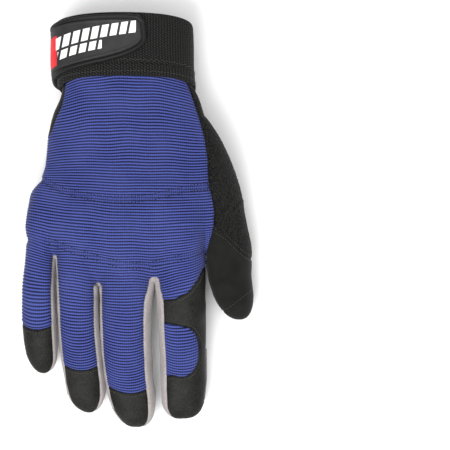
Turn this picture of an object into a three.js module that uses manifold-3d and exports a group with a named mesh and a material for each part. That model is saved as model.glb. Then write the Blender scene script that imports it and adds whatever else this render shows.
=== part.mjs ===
// A leather palm work glove for the right hand, lying on its palm with the shape of the hand still in it.
// Fingers point to -Y, the cuff to +Y, the thumb is on +X and the back of the hand faces +Z.
//
// The glove is drawn straight and flat first. Every digit is a tube of rounded sections, and the hand is one
// wide tube with a rounded end. The union of the tubes, less the same union made one wall smaller, is the
// hollow wall, and plan outlines cut that wall into the panels that a glove maker would sew together.
// Last, each panel is bent the same way: the knuckles rise, the fingers and the wrist slope down, and the
// thumb drops beside the palm.

import * as THREE from "three";
import { mergeVertices } from "three/addons/utils/BufferGeometryUtils.js";
import Module from "manifold-3d";

const wasm = await Module();
wasm.setup();

// Driving dimensions, in millimetres. Lengths of fingers are from the knuckle line, which is y = 0.
const PALM_WIDTH = 110;
const PALM_LENGTH = 83;
const PALM_DEPTH = 40;
const LITTLE_LENGTH = 90;
const LITTLE_WIDTH = 20.4;
const LITTLE_DEPTH = 21;
const RING_LENGTH = 114;
const RING_WIDTH = 25;
const RING_DEPTH = 24;
const MIDDLE_LENGTH = 123;
const MIDDLE_WIDTH = 31;
const MIDDLE_DEPTH = 26;
const INDEX_LENGTH = 117;
const INDEX_WIDTH = 29;
const INDEX_DEPTH = 25;
const THUMB_LENGTH = 132;
const THUMB_WIDTH = 31;
const THUMB_DEPTH = 28;
const CUFF_HEIGHT = 37;
const CUFF_WIDTH = 84;
const CUFF_DEPTH = 40;

// Thicknesses of the materials, and the gap that sewn pieces keep.
const WALL = 1.8;
const CUFF_WALL = 2.2;
const PATCH_THICKNESS = 1.6;
const STRAP_THICKNESS = 2.4;
const LABEL_THICKNESS = 0.6;
const SEAM_GAP = 0.5;
const PATCH_GAP = 0.7;

// Seams and edges.
const CUFF_OVERLAP = 10;
const HEM_HEIGHT = 7;
const CROTCH_RADIUS = 2.2;
const HAND_END_ROUND = 46;
const FINGER_END_ROUND = 20;
const THUMB_END_ROUND = 24;

// The cross-section's corners: 2 is an ellipse, and a larger number is squarer.
const UPPER_SQUARENESS = 2.3;
const LOWER_SQUARENESS = 2.9;
const FINGER_END_SQUARENESS = 2.2;
const HAND_END_SQUARENESS = 1.8;
const FLAT_SHARE = 0.97;

const HALF_PALM = PALM_WIDTH / 2;

// The hand from the cuff to where its rounded end starts. at is a share of PALM_LENGTH, left and right are
// shares of half of PALM_WIDTH, up and down are shares of half of PALM_DEPTH.
const HAND_ROWS = [
  { at: 1.0, left: -0.64, right: 0.778, up: 0.93, down: 0.93 },
  { at: 0.915, left: -0.669, right: 0.845, up: 0.95, down: 0.93 },
  { at: 0.8, left: -0.742, right: 0.9, up: 0.98, down: 0.94 },
  { at: 0.65, left: -0.793, right: 0.951, up: 1.01, down: 0.95 },
  { at: 0.5, left: -0.815, right: 0.978, up: 1.03, down: 0.94 },
  { at: 0.36, left: -0.847, right: 1.0, up: 1.03, down: 0.92 },
  { at: 0.23, left: -0.949, right: 1.024, up: 1.07, down: 0.9 },
  { at: 0.1, left: -0.993, right: 1.047, up: 1.08, down: 0.88 },
];

// Each finger. along is a share of its length, and starts inside the hand. shift and half are shares of its
// width, up and down are shares of its depth.
const FINGERS = [
  {
    name: "little", base: -0.873, length: LITTLE_LENGTH, width: LITTLE_WIDTH, depth: LITTLE_DEPTH,
    rows: [
      { along: -0.38, shift: 0.32, half: 0.2, up: 0.45, down: 0.4 },
      { along: -0.08, shift: 0.06, half: 0.37, up: 0.64, down: 0.56 },
      { along: 0.1, shift: 0.0, half: 0.42, up: 0.66, down: 0.58 },
      { along: 0.25, shift: -0.05, half: 0.435, up: 0.58, down: 0.54 },
      { along: 0.45, shift: -0.11, half: 0.475, up: 0.51, down: 0.5 },
      { along: 0.65, shift: -0.11, half: 0.5, up: 0.48, down: 0.5 },
      { along: 0.8, shift: -0.08, half: 0.49, up: 0.45, down: 0.46 },
      { along: 1.0, shift: 0.03, half: 0.49, up: 0.42, down: 0.44 },
    ],
  },
  {
    name: "ring", base: -0.49, length: RING_LENGTH, width: RING_WIDTH, depth: RING_DEPTH,
    rows: [
      { along: -0.12, shift: 0, half: 0.44, up: 0.6, down: 0.5 },
      { along: 0.1, shift: 0, half: 0.48, up: 0.7, down: 0.6 },
      { along: 0.28, shift: 0.01, half: 0.485, up: 0.6, down: 0.55 },
      { along: 0.5, shift: 0.03, half: 0.495, up: 0.51, down: 0.5 },
      { along: 0.7, shift: 0.1, half: 0.5, up: 0.47, down: 0.49 },
      { along: 0.85, shift: 0.18, half: 0.5, up: 0.43, down: 0.45 },
      { along: 1.0, shift: 0.26, half: 0.49, up: 0.41, down: 0.43 },
    ],
  },
  {
    name: "middle", base: 0.06, length: MIDDLE_LENGTH, width: MIDDLE_WIDTH, depth: MIDDLE_DEPTH,
    rows: [
      { along: -0.11, shift: 0, half: 0.44, up: 0.6, down: 0.5 },
      { along: 0.1, shift: 0, half: 0.49, up: 0.7, down: 0.58 },
      { along: 0.26, shift: 0, half: 0.51, up: 0.6, down: 0.55 },
      { along: 0.5, shift: -0.02, half: 0.5, up: 0.51, down: 0.5 },
      { along: 0.7, shift: 0.01, half: 0.485, up: 0.47, down: 0.49 },
      { along: 0.85, shift: 0.09, half: 0.46, up: 0.43, down: 0.45 },
      { along: 1.0, shift: 0.19, half: 0.45, up: 0.41, down: 0.43 },
    ],
  },
  {
    name: "index", base: 0.662, length: INDEX_LENGTH, width: INDEX_WIDTH, depth: INDEX_DEPTH,
    rows: [
      { along: -0.11, shift: 0, half: 0.46, up: 0.58, down: 0.5 },
      { along: 0.1, shift: 0, half: 0.5, up: 0.68, down: 0.58 },
      { along: 0.26, shift: 0, half: 0.505, up: 0.6, down: 0.55 },
      { along: 0.5, shift: 0.01, half: 0.5, up: 0.51, down: 0.5 },
      { along: 0.7, shift: 0.03, half: 0.475, up: 0.47, down: 0.49 },
      { along: 0.85, shift: 0.035, half: 0.475, up: 0.43, down: 0.45 },
      { along: 1.0, shift: 0.01, half: 0.47, up: 0.41, down: 0.43 },
    ],
  },
];

// The thumb starts beside the wrist. along is a share of THUMB_LENGTH, shift is a share of half of
// PALM_WIDTH, half a share of THUMB_WIDTH, and up and down are shares of THUMB_DEPTH.
const THUMB_ROOT_SHARE = 0.9;
const THUMB_ROWS = [
  { along: 0.0, shift: 0.545, half: 0.42, up: 0.4, down: 0.4 },
  { along: 0.136, shift: 0.755, half: 0.484, up: 0.47, down: 0.47 },
  { along: 0.227, shift: 0.873, half: 0.49, up: 0.5, down: 0.5 },
  { along: 0.34, shift: 0.973, half: 0.5, up: 0.515, down: 0.515 },
  { along: 0.477, shift: 1.067, half: 0.494, up: 0.51, down: 0.51 },
  { along: 0.636, shift: 1.155, half: 0.477, up: 0.49, down: 0.49 },
  { along: 0.75, shift: 1.195, half: 0.435, up: 0.465, down: 0.465 },
  { along: 0.818, shift: 1.208, half: 0.416, up: 0.44, down: 0.45 },
  { along: 1.0, shift: 1.3, half: 0.41, up: 0.42, down: 0.43 },
];

// The cuff. at is a share of CUFF_HEIGHT, left and right are shares of half of CUFF_WIDTH.
const CUFF_ROWS = [
  { at: 0.0, left: -0.9, right: 1.076 },
  { at: 0.25, left: -0.95, right: 1.055 },
  { at: 0.5, left: -0.96, right: 1.045 },
  { at: 1.0, left: -0.952, right: 1.038 },
];

// How the flat drawing bends. at is a share of PALM_LENGTH above the knuckle line, and of MIDDLE_LENGTH
// below it. hand, thumb and droop are heights as shares of PALM_DEPTH, and lean is in degrees.
const BEND_ROWS = [
  { at: 1.6, hand: 0.59, thumb: 0.59, droop: 0, lean: 19 },
  { at: 1.0, hand: 0.59, thumb: 0.59, droop: 0, lean: 17 },
  { at: 0.72, hand: 0.62, thumb: 0.58, droop: 0.02, lean: 11 },
  { at: 0.28, hand: 0.7, thumb: 0.44, droop: 0.06, lean: 3 },
  { at: 0.0, hand: 0.71, thumb: 0.39, droop: 0.07, lean: -1 },
  { at: -0.24, hand: 0.635, thumb: 0.36, droop: 0.07, lean: -7 },
  { at: -0.5, hand: 0.505, thumb: 0.34, droop: 0.06, lean: -13 },
  { at: -0.73, hand: 0.4, thumb: 0.345, droop: 0.02, lean: -17 },
  { at: -1.0, hand: 0.33, thumb: 0.33, droop: 0, lean: -20 },
];
const THUMB_BEND_START = 0.78;
const THUMB_BEND_END = 1.3;

// Edges of the blue back panel on the hand, as shares of half of PALM_WIDTH and of PALM_LENGTH.
const BACK_RIGHT_EDGE = [
  { x: 0.7, y: 1.2 }, { x: 0.73, y: 1.0 }, { x: 0.8, y: 0.88 }, { x: 0.87, y: 0.74 }, { x: 0.925, y: 0.6 },
  { x: 0.957, y: 0.46 }, { x: 0.965, y: 0.32 }, { x: 0.992, y: 0.21 }, { x: 1.015, y: 0.1 },
  { x: 1.012, y: 0.0 }, { x: 0.992, y: -0.07 }, { x: 0.948, y: -0.17 },
];
const BACK_LEFT_EDGE = [
  { x: -0.9, y: 0.57 }, { x: -0.775, y: 0.64 }, { x: -0.71, y: 0.74 }, { x: -0.64, y: 0.83 },
  { x: -0.615, y: 0.92 }, { x: -0.6, y: 1.0 }, { x: -0.58, y: 1.2 },
];

// Where the blue back panel ends on the index finger, and the blue patch beyond it. x is a share of half of
// INDEX_WIDTH from the finger's base, y a share of INDEX_LENGTH.
const INDEX_BACK_END = [
  { x: 1.3, y: -0.2 }, { x: 0.94, y: -0.22 }, { x: 0.72, y: -0.27 }, { x: 0.36, y: -0.325 }, { x: -0.24, y: -0.36 },
  { x: -1.3, y: -0.38 },
];
const INDEX_PATCH = [
  { x: -0.9, y: -0.485 }, { x: 0.1, y: -0.48 }, { x: 0.5, y: -0.505 }, { x: 0.69, y: -0.56 },
  { x: 0.75, y: -0.625 }, { x: 0.69, y: -0.69 }, { x: 0.46, y: -0.735 }, { x: 0.1, y: -0.755 },
  { x: -0.3, y: -0.75 }, { x: -0.9, y: -0.735 },
];

// The seam between the palm panel and the thumb's front, as shares of half of PALM_WIDTH and PALM_LENGTH.
const THUMB_SEAM = [
  { x: 0.78, y: 1.2 }, { x: 0.76, y: 0.95 }, { x: 0.74, y: 0.75 }, { x: 0.77, y: 0.6 }, { x: 0.82, y: 0.4 },
  { x: 0.865, y: 0.2 }, { x: 0.91, y: 0.03 }, { x: 0.935, y: -0.1 },
];

// The seam between the thumb's front and the back of the thumb, which wraps round the hand's outer side.
const THUMB_OUTER_SEAM = [
  { x: 0.54, y: 1.2 }, { x: 0.55, y: 1.0 }, { x: 0.65, y: 0.83 }, { x: 0.82, y: 0.64 }, { x: 1.02, y: 0.36 },
  { x: 1.19, y: 0.0 }, { x: 1.25, y: -0.18 }, { x: 1.3, y: -0.48 }, { x: 1.36, y: -0.62 }, { x: 1.5, y: -0.75 },
];
const THUMB_SIDE = 0.94;

// The palm panel wraps over the little finger's side of the wrist inside this outline.
const WRIST_SIDE = [{ x: -1.3, y: 0.5 }, { x: -0.3, y: 0.5 }, { x: -0.3, y: 1.3 }, { x: -1.3, y: 1.3 }];

// The grey wear patches of the palm, as shares of half of PALM_WIDTH and of PALM_LENGTH.
const CRESCENT_PATCH = [
  { x: -0.56, y: 0.69 }, { x: -0.3, y: 0.82 }, { x: 0.0, y: 0.87 }, { x: 0.28, y: 0.83 },
  { x: 0.52, y: 0.71 }, { x: 0.69, y: 0.5 }, { x: 0.75, y: 0.22 }, { x: 0.78, y: 0.02 },
  { x: 0.68, y: -0.06 }, { x: 0.25, y: -0.04 }, { x: -0.2, y: 0.03 }, { x: -0.31, y: 0.12 },
  { x: -0.17, y: 0.22 }, { x: 0.08, y: 0.27 }, { x: 0.18, y: 0.42 }, { x: 0.08, y: 0.52 },
  { x: -0.14, y: 0.5 }, { x: -0.36, y: 0.36 }, { x: -0.46, y: 0.2 }, { x: -0.57, y: 0.11 },
  { x: -0.7, y: 0.15 }, { x: -0.73, y: 0.33 }, { x: -0.68, y: 0.53 },
];
const KNUCKLE_PATCH = [
  { x: -0.84, y: 0.03 }, { x: -0.45, y: -0.01 }, { x: 0.0, y: -0.07 }, { x: 0.45, y: -0.13 },
  { x: 0.86, y: -0.16 }, { x: 0.9, y: -0.3 }, { x: 0.84, y: -0.52 }, { x: 0.66, y: -0.58 },
  { x: 0.5, y: -0.45 }, { x: 0.34, y: -0.37 }, { x: 0.2, y: -0.46 }, { x: 0.08, y: -0.56 },
  { x: -0.06, y: -0.54 }, { x: -0.17, y: -0.42 }, { x: -0.3, y: -0.36 }, { x: -0.42, y: -0.44 },
  { x: -0.53, y: -0.48 }, { x: -0.64, y: -0.4 }, { x: -0.74, y: -0.29 }, { x: -0.86, y: -0.25 },
  { x: -0.9, y: -0.1 },
];

// Side strips between the fingers show on the back and the palm by these shares of the finger's half width.
// Where the blue ends and the black tip starts on the back, and where the grey pad starts on the palm, are
// shares of the finger's length. The outer sides of the hand have no strip.
const SEWING = {
  little: { backRight: 0.16, palmRight: 0.2, tip: 0.655, pad: 0.58 },
  ring: { backLeft: 0.12, backRight: 0.2, palmLeft: 0.26, palmRight: 0.16, tip: 0.72, pad: 0.67 },
  middle: { backLeft: 0.1, backRight: 0.27, palmLeft: 0.26, palmRight: 0.16, tip: 0.775, pad: 0.69 },
  index: { backLeft: 0.26, palmLeft: 0.24, tip: 0.75, pad: 0.66 },
};

// The crotches between neighbouring fingers, as shares of MIDDLE_LENGTH below the knuckle line.
const CROTCHES = [-0.142, -0.28, -0.248];

// The closing strap around the cuff: its tab on the back and its anchored end on the palm, which carries the
// two labels. x is a share of half of CUFF_WIDTH, y a share of CUFF_HEIGHT from the cuff's lower edge.
const STRAP_TAB = [
  { x: -1.3, y: 0.08 }, { x: -0.72, y: 0.16 }, { x: -0.26, y: 0.3 }, { x: 0.18, y: 0.44 },
  { x: 0.33, y: 0.49 }, { x: 0.385, y: 0.58 }, { x: 0.36, y: 0.86 }, { x: 0.28, y: 0.95 },
  { x: 0.12, y: 0.965 }, { x: -1.3, y: 0.965 },
];
const STRAP_END = [
  { x: -1.3, y: 0.08 }, { x: 0.2, y: 0.08 }, { x: 0.26, y: 0.965 }, { x: -1.3, y: 0.965 },
];
const SIZE_LABEL = [
  { x: -0.74, y: 0.14 }, { x: -0.56, y: 0.14 }, { x: -0.54, y: 0.9 }, { x: -0.72, y: 0.9 },
];
const NAME_LABEL = [
  { x: -0.52, y: 0.14 }, { x: 0.16, y: 0.14 }, { x: 0.2, y: 0.9 }, { x: -0.5, y: 0.9 },
];

// How finely the outside of the wall is divided, and its inside.
const OUTSIDE = { handSides: 28, handStations: 7, handEnd: 6, digitSides: 16, digitStations: 7, digitEnd: 4 };
const INSIDE = { handSides: 18, handStations: 6, handEnd: 4, digitSides: 10, digitStations: 5, digitEnd: 3 };
const CUFF_SIDES = 28;
const CUFF_STATIONS = 2;
const EDGE_STEPS = 5;
const TIP_STEPS = 4;
const ARCH_STEPS = 4;
const PAST_TIP = 0.6;
const PAST_SIDE = 1.3;
const EDGE_MARGIN = 1;
const PATCH_POINTS = 36;
const INDEX_PATCH_POINTS = 20;
const REACH = 200;

// The value of one column of a table at a place, on a smooth curve through the rows that is level wherever
// the column turns back or stays the same.
function readTable(rows, placeName, column, place) {
  const up = rows[0][placeName] < rows[rows.length - 1][placeName];
  const table = up ? rows : [...rows].reverse();
  const last = table.length - 1;
  const clamped = Math.min(Math.max(place, table[0][placeName]), table[last][placeName]);
  let i = 0;
  while (i < last - 1 && clamped > table[i + 1][placeName]) i += 1;
  const slope = (k) => {
    const before = table[Math.max(k - 1, 0)];
    const after = table[Math.min(k + 1, last)];
    const turns = (after[column] - table[k][column]) * (table[k][column] - before[column]) <= 0;
    if (turns && k > 0 && k < last) return 0;
    return (after[column] - before[column]) / (after[placeName] - before[placeName]);
  };
  const span = table[i + 1][placeName] - table[i][placeName];
  const t = (clamped - table[i][placeName]) / span;
  const start = table[i][column];
  const end = table[i + 1][column];
  return (
    start * (1 + 2 * t) * (1 - t) ** 2 + slope(i) * span * t * (1 - t) ** 2 +
    end * t * t * (3 - 2 * t) - slope(i + 1) * span * t * t * (1 - t)
  );
}

function smoothStep(t) {
  const clamped = Math.min(Math.max(t, 0), 1);
  return clamped * clamped * (3 - 2 * clamped);
}

// The section of the hand at y: centre, half width, and height above and below the middle plane.
function handSection(y) {
  const read = (column) => readTable(HAND_ROWS, "at", column, y / PALM_LENGTH);
  const left = read("left") * HALF_PALM;
  const right = read("right") * HALF_PALM;
  return {
    centre: (left + right) / 2,
    half: (right - left) / 2,
    up: (read("up") * PALM_DEPTH) / 2,
    down: (read("down") * PALM_DEPTH) / 2,
  };
}

function fingerSection(finger, y) {
  const read = (column) => readTable(finger.rows, "along", column, -y / finger.length);
  return {
    centre: finger.base * HALF_PALM + read("shift") * finger.width,
    half: read("half") * finger.width,
    up: read("up") * finger.depth,
    down: read("down") * finger.depth,
  };
}

const THUMB_ROOT = THUMB_ROOT_SHARE * PALM_LENGTH;
const THUMB_TIP = THUMB_ROOT - THUMB_LENGTH;

function thumbSection(y) {
  const read = (column) => readTable(THUMB_ROWS, "along", column, (THUMB_ROOT - y) / THUMB_LENGTH);
  return {
    centre: read("shift") * HALF_PALM,
    half: read("half") * THUMB_WIDTH,
    up: read("up") * THUMB_DEPTH,
    down: read("down") * THUMB_DEPTH,
  };
}

const CUFF_BOTTOM = PALM_LENGTH;
const CUFF_TOP = CUFF_BOTTOM + CUFF_HEIGHT;

function cuffSection(y) {
  const read = (column) => readTable(CUFF_ROWS, "at", column, (y - CUFF_BOTTOM) / CUFF_HEIGHT);
  const left = (read("left") * CUFF_WIDTH) / 2;
  const right = (read("right") * CUFF_WIDTH) / 2;
  return { centre: (left + right) / 2, half: (right - left) / 2, up: CUFF_DEPTH / 2, down: CUFF_DEPTH / 2 };
}

// The closed line around a section, grown by offset. Its underside is flat where it would rest.
function ringAround(section, y, offset, scale, sides) {
  const ring = [];
  for (let k = 0; k < sides; k += 1) {
    const angle = (2 * Math.PI * k) / sides;
    const c = Math.cos(angle);
    const s = Math.sin(angle);
    const power = 2 / (s >= 0 ? UPPER_SQUARENESS : LOWER_SQUARENESS);
    const depth = s >= 0 ? section.up : section.down;
    const x = section.centre + (section.half + offset) * scale * Math.sign(c) * Math.abs(c) ** power;
    const z = (depth + offset) * scale * Math.sign(s) * Math.abs(s) ** power;
    const flat = -(FLAT_SHARE * section.down + offset) * scale;
    ring.push([x, y, Math.max(z, flat)]);
  }
  return ring;
}

// A closed solid through rings that run towards -y. A ring may be one point.
function loft(rings) {
  const positions = [];
  const index = [];
  const starts = rings.map((ring) => {
    const start = positions.length / 3;
    ring.forEach((point) => positions.push(...point));
    return start;
  });
  const addCentre = (ring) => {
    const sum = ring.reduce((total, p) => [total[0] + p[0], total[1] + p[1], total[2] + p[2]], [0, 0, 0]);
    positions.push(...sum.map((value) => value / ring.length));
    return positions.length / 3 - 1;
  };
  for (let i = 0; i + 1 < rings.length; i += 1) {
    const sides = rings[i].length;
    const pole = rings[i + 1].length === 1;
    for (let k = 0; k < sides; k += 1) {
      const next = (k + 1) % sides;
      const here = starts[i] + k;
      const beside = starts[i] + next;
      if (pole) {
        index.push(here, beside, starts[i + 1]);
      } else {
        index.push(here, beside, starts[i + 1] + k);
        index.push(beside, starts[i + 1] + next, starts[i + 1] + k);
      }
    }
  }
  const firstCentre = addCentre(rings[0]);
  const sides = rings[0].length;
  for (let k = 0; k < sides; k += 1) index.push(firstCentre, starts[0] + ((k + 1) % sides), starts[0] + k);
  const lastRing = rings[rings.length - 1];
  if (lastRing.length > 1) {
    const lastCentre = addCentre(lastRing);
    const start = starts[rings.length - 1];
    for (let k = 0; k < lastRing.length; k += 1) {
      index.push(lastCentre, start + k, start + ((k + 1) % lastRing.length));
    }
  }
  return new wasm.Manifold(
    new wasm.Mesh({
      numProp: 3,
      vertProperties: new Float32Array(positions),
      triVerts: new Uint32Array(index),
    }),
  );
}

// A tube from startY to a rounded end at tipY. sectionAt gives its section, and offset grows it.
function roundedTube(sectionAt, startY, tipY, end, offset, sides, stations, endStations) {
  const endStart = tipY + end.round;
  const rings = [];
  for (let i = 0; i <= stations; i += 1) {
    const y = startY + ((endStart - startY) * i) / stations;
    rings.push(ringAround(sectionAt(y), y, offset, 1, sides));
  }
  const atEnd = sectionAt(endStart);
  for (let i = 1; i < endStations; i += 1) {
    const reach = Math.sin((Math.PI / 2) * (i / endStations));
    const y = endStart - (end.round + offset) * reach;
    const scale = (1 - reach ** end.squareness) ** (1 / end.squareness);
    const section = { ...atEnd, centre: sectionAt(y).centre };
    rings.push(ringAround(section, y, offset, scale, sides));
  }
  rings.push([[sectionAt(tipY).centre, tipY - offset, 0]]);
  return loft(rings);
}

const HAND_END = { round: HAND_END_ROUND, squareness: HAND_END_SQUARENESS };
const FINGER_END = { round: FINGER_END_ROUND, squareness: FINGER_END_SQUARENESS };
const THUMB_END = { round: THUMB_END_ROUND, squareness: FINGER_END_SQUARENESS };

// The whole hand, fingers and thumb as one solid, grown by offset. extra lengthens the wrist end.
function handForm(offset, extra, detail) {
  const handTip = HAND_ROWS[HAND_ROWS.length - 1].at * PALM_LENGTH - HAND_END_ROUND;
  const hand = roundedTube(
    handSection, PALM_LENGTH + extra, handTip, HAND_END, offset,
    detail.handSides, detail.handStations, detail.handEnd,
  );
  const thumb = roundedTube(
    thumbSection, THUMB_ROOT, THUMB_TIP, THUMB_END, offset,
    detail.digitSides, detail.digitStations, detail.digitEnd,
  );
  const fingers = FINGERS.map((finger) =>
    roundedTube(
      (y) => fingerSection(finger, y), -finger.rows[0].along * finger.length, -finger.length, FINGER_END, offset,
      detail.digitSides, detail.digitStations, detail.digitEnd,
    ),
  );
  return wasm.Manifold.union([hand, thumb, ...fingers]);
}

// The cuff's tube grown by offset, and made longer at both ends by extra.
function cuffForm(offset, extra) {
  const rings = [];
  for (let i = 0; i <= CUFF_STATIONS; i += 1) {
    const y = CUFF_TOP + ((CUFF_BOTTOM - CUFF_TOP) * i) / CUFF_STATIONS;
    const stretched = y + extra * (1 - (2 * i) / CUFF_STATIONS);
    rings.push(ringAround(cuffSection(y), stretched, offset, 1, CUFF_SIDES));
  }
  return loft(rings);
}

function toManifold(geometry) {
  const plain = geometry.clone();
  plain.deleteAttribute("normal");
  plain.deleteAttribute("uv");
  const merged = mergeVertices(plain, 1e-4);
  return new wasm.Manifold(
    new wasm.Mesh({
      numProp: 3,
      vertProperties: merged.attributes.position.array,
      triVerts: new Uint32Array(merged.index.array),
    }),
  );
}

// A plan outline as an upright prism between two heights.
function prism(outline, low, high) {
  const shape = new THREE.Shape(outline);
  const geometry = new THREE.ExtrudeGeometry(shape, { depth: high - low, bevelEnabled: false });
  return toManifold(geometry.translate(0, 0, low));
}

// The outline moved inwards by distance, or outwards if that is negative.
function insetOutline(outline, distance) {
  const sense = THREE.ShapeUtils.isClockWise(outline) ? -1 : 1;
  const count = outline.length;
  return outline.map((point, i) => {
    const before = new THREE.Vector2().subVectors(point, outline[(i + count - 1) % count]).normalize();
    const after = new THREE.Vector2().subVectors(outline[(i + 1) % count], point).normalize();
    const along = new THREE.Vector2().addVectors(before, after).normalize();
    const inward = new THREE.Vector2(-along.y, along.x).multiplyScalar(sense);
    const corner = Math.max(Math.abs(before.dot(along)), 0.5);
    return new THREE.Vector2().copy(point).addScaledVector(inward, distance / corner);
  });
}

// A closed smooth outline through rows of x and y shares.
function smoothOutline(rows, toPlan, divisions) {
  const points = rows.map((row) => toPlan(row)).map((p) => new THREE.Vector3(p.x, p.y, 0));
  const curve = new THREE.CatmullRomCurve3(points, true, "centripetal");
  return curve.getPoints(divisions).slice(0, -1).map((p) => new THREE.Vector2(p.x, p.y));
}

const onPalm = ({ x, y }) => new THREE.Vector2(x * HALF_PALM, y * PALM_LENGTH);
const onIndex = ({ x, y }) =>
  new THREE.Vector2(FINGERS[3].base * HALF_PALM + (x * INDEX_WIDTH) / 2, y * INDEX_LENGTH);
const onCuff = ({ x, y }) => new THREE.Vector2((x * CUFF_WIDTH) / 2, CUFF_BOTTOM + y * CUFF_HEIGHT);

// A finger's half width at y, which shrinks to nothing over its rounded end.
function fingerHalf(finger, y) {
  const reach = Math.min(Math.max((-finger.length + FINGER_END_ROUND - y) / FINGER_END_ROUND, 0), 1);
  const taper = (1 - reach ** FINGER_END_SQUARENESS) ** (1 / FINGER_END_SQUARENESS);
  return fingerSection(finger, y).half * taper;
}

// A finger's panel edge on one side, from y = top down to its tip. inset is a share of the half width.
function fingerEdge(finger, side, inset, top) {
  const endStart = -finger.length + FINGER_END_ROUND;
  const places = [];
  for (let i = 0; i < EDGE_STEPS; i += 1) places.push(top + ((endStart - top) * i) / EDGE_STEPS);
  for (let i = 0; i < TIP_STEPS; i += 1) {
    places.push(endStart - FINGER_END_ROUND * Math.sin((Math.PI / 2) * (i / TIP_STEPS)));
  }
  const edge = places.map(
    (y) => new THREE.Vector2(fingerSection(finger, y).centre + side * fingerHalf(finger, y) * (1 - inset), y),
  );
  edge.push(new THREE.Vector2(fingerSection(finger, -finger.length).centre, -finger.length - PAST_TIP));
  return edge;
}

// The outline of the sewn panel on the back or the palm: the four fingers from little to index, joined by
// round crotches. outer has the lines beside the little and the index finger, where the panel wraps over
// the side, and after holds the points that close the outline along the hand.
function panelOutline(view, outer, after) {
  const outline = [];
  const last = FINGERS.length - 1;
  const crotchY = (i) => CROTCHES[i] * MIDDLE_LENGTH - CROTCH_RADIUS;
  FINGERS.forEach((finger, i) => {
    const sewing = SEWING[finger.name];
    const tip = new THREE.Vector2(fingerSection(finger, -finger.length).centre, -finger.length - PAST_TIP);
    if (i === 0) {
      outline.push(new THREE.Vector2(outer.left, outer.start), new THREE.Vector2(outer.left, tip.y), tip);
    } else {
      outline.push(...fingerEdge(finger, -1, sewing[view + "Left"], crotchY(i - 1)));
    }
    if (i === last) {
      outline.push(new THREE.Vector2(outer.right, tip.y));
      return;
    }
    const right = fingerEdge(finger, 1, sewing[view + "Right"], crotchY(i)).reverse().slice(1);
    outline.push(...right);
    const from = right[right.length - 1];
    const next = FINGERS[i + 1];
    const to = fingerEdge(next, -1, SEWING[next.name][view + "Left"], crotchY(i))[0];
    for (let k = 1; k < ARCH_STEPS; k += 1) {
      const angle = Math.PI * (k / ARCH_STEPS);
      const x = (from.x + to.x) / 2 - ((to.x - from.x) / 2) * Math.cos(angle);
      outline.push(new THREE.Vector2(x, crotchY(i) + CROTCH_RADIUS * Math.sin(angle)));
    }
  });
  outline.push(...after);
  return outline;
}

// The strip of plan between the middles of two neighbouring fingers, from above their crotch past the tips.
function webOutline(i) {
  const top = CROTCHES[i] * MIDDLE_LENGTH + 3 * CROTCH_RADIUS;
  return [
    ...fingerEdge(FINGERS[i], 0, 0, top),
    ...fingerEdge(FINGERS[i + 1], 0, 0, top).reverse(),
  ];
}

// The end of a finger beyond a share of its length, a little wider than the finger.
function endOutline(finger, share) {
  const steps = 4;
  const edge = (side) =>
    Array.from({ length: steps + 1 }, (_, i) => {
      const y = -finger.length * (share + ((1 - share) * i) / steps) - (PAST_TIP * 2 * i) / steps;
      const section = fingerSection(finger, y);
      return new THREE.Vector2(section.centre + side * (section.half + SEAM_GAP), y);
    });
  return [...edge(-1), ...edge(1).reverse()];
}

// Bends a flat solid into the lying glove.
function bend(solid) {
  return solid.warp((point) => {
    const [x, y, z] = point;
    const at = y >= 0 ? y / PALM_LENGTH : y / MIDDLE_LENGTH;
    const read = (column) => readTable(BEND_ROWS, "at", column, at);
    const side = smoothStep((x / HALF_PALM - THUMB_BEND_START) / (THUMB_BEND_END - THUMB_BEND_START));
    const across = Math.min(x / HALF_PALM, 0);
    const hand = read("hand") - read("droop") * across * across;
    point[1] = y + z * Math.tan((read("lean") * Math.PI) / 180);
    point[2] = z + PALM_DEPTH * (hand + (read("thumb") - hand) * side);
  });
}

// The hollow wall, and prisms for what is above and below its middle plane.
const wall = handForm(0, 0, OUTSIDE).subtract(handForm(-WALL, CUFF_OVERLAP, INSIDE));
const halfGap = SEAM_GAP / 2;
const above = (outline) => prism(outline, halfGap, REACH);
const below = (outline) => prism(outline, -REACH, -halfGap);
const through = (outline) => prism(outline, -REACH, REACH);
const grown = (outline) => insetOutline(outline, -SEAM_GAP);

const backRight = BACK_RIGHT_EDGE.map(onPalm);
const sideX = THUMB_SIDE * HALF_PALM;
const outerX = -PAST_SIDE * HALF_PALM;
const far = 2 * PAST_SIDE * HALF_PALM;
const backOutline = panelOutline(
  "back",
  { left: outerX, right: sideX, start: 0 },
  [
    new THREE.Vector2(sideX, backRight[backRight.length - 1].y),
    ...[...backRight].reverse(),
    ...[...BACK_LEFT_EDGE].reverse().map(onPalm),
    new THREE.Vector2(outerX, (BACK_LEFT_EDGE[0].y - 0.06) * PALM_LENGTH),
  ],
);
const seam = THUMB_SEAM.map(onPalm);
const palmOutline = panelOutline(
  "palm",
  { left: outerX, right: sideX, start: 0 },
  [...[...seam].reverse(), new THREE.Vector2(outerX, seam[0].y)],
);
const thumbAbove = [
  ...backRight, new THREE.Vector2(sideX, backRight[backRight.length - 1].y),
  new THREE.Vector2(sideX, -REACH), new THREE.Vector2(far, -REACH), new THREE.Vector2(far, backRight[0].y),
];
const thumbBelow = [
  ...seam, new THREE.Vector2(sideX, -REACH), new THREE.Vector2(far, -REACH), new THREE.Vector2(far, seam[0].y),
];
const outerSeam = THUMB_OUTER_SEAM.map(onPalm);
const thumbOuter = [...outerSeam, new THREE.Vector2(far, outerSeam[outerSeam.length - 1].y),
  new THREE.Vector2(far, outerSeam[0].y)];

const backSide = wall.intersect(above(backOutline));
const notBack = wall.subtract(prism(grown(backOutline), -halfGap, REACH));
const wristSide = WRIST_SIDE.map(onPalm);

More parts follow.
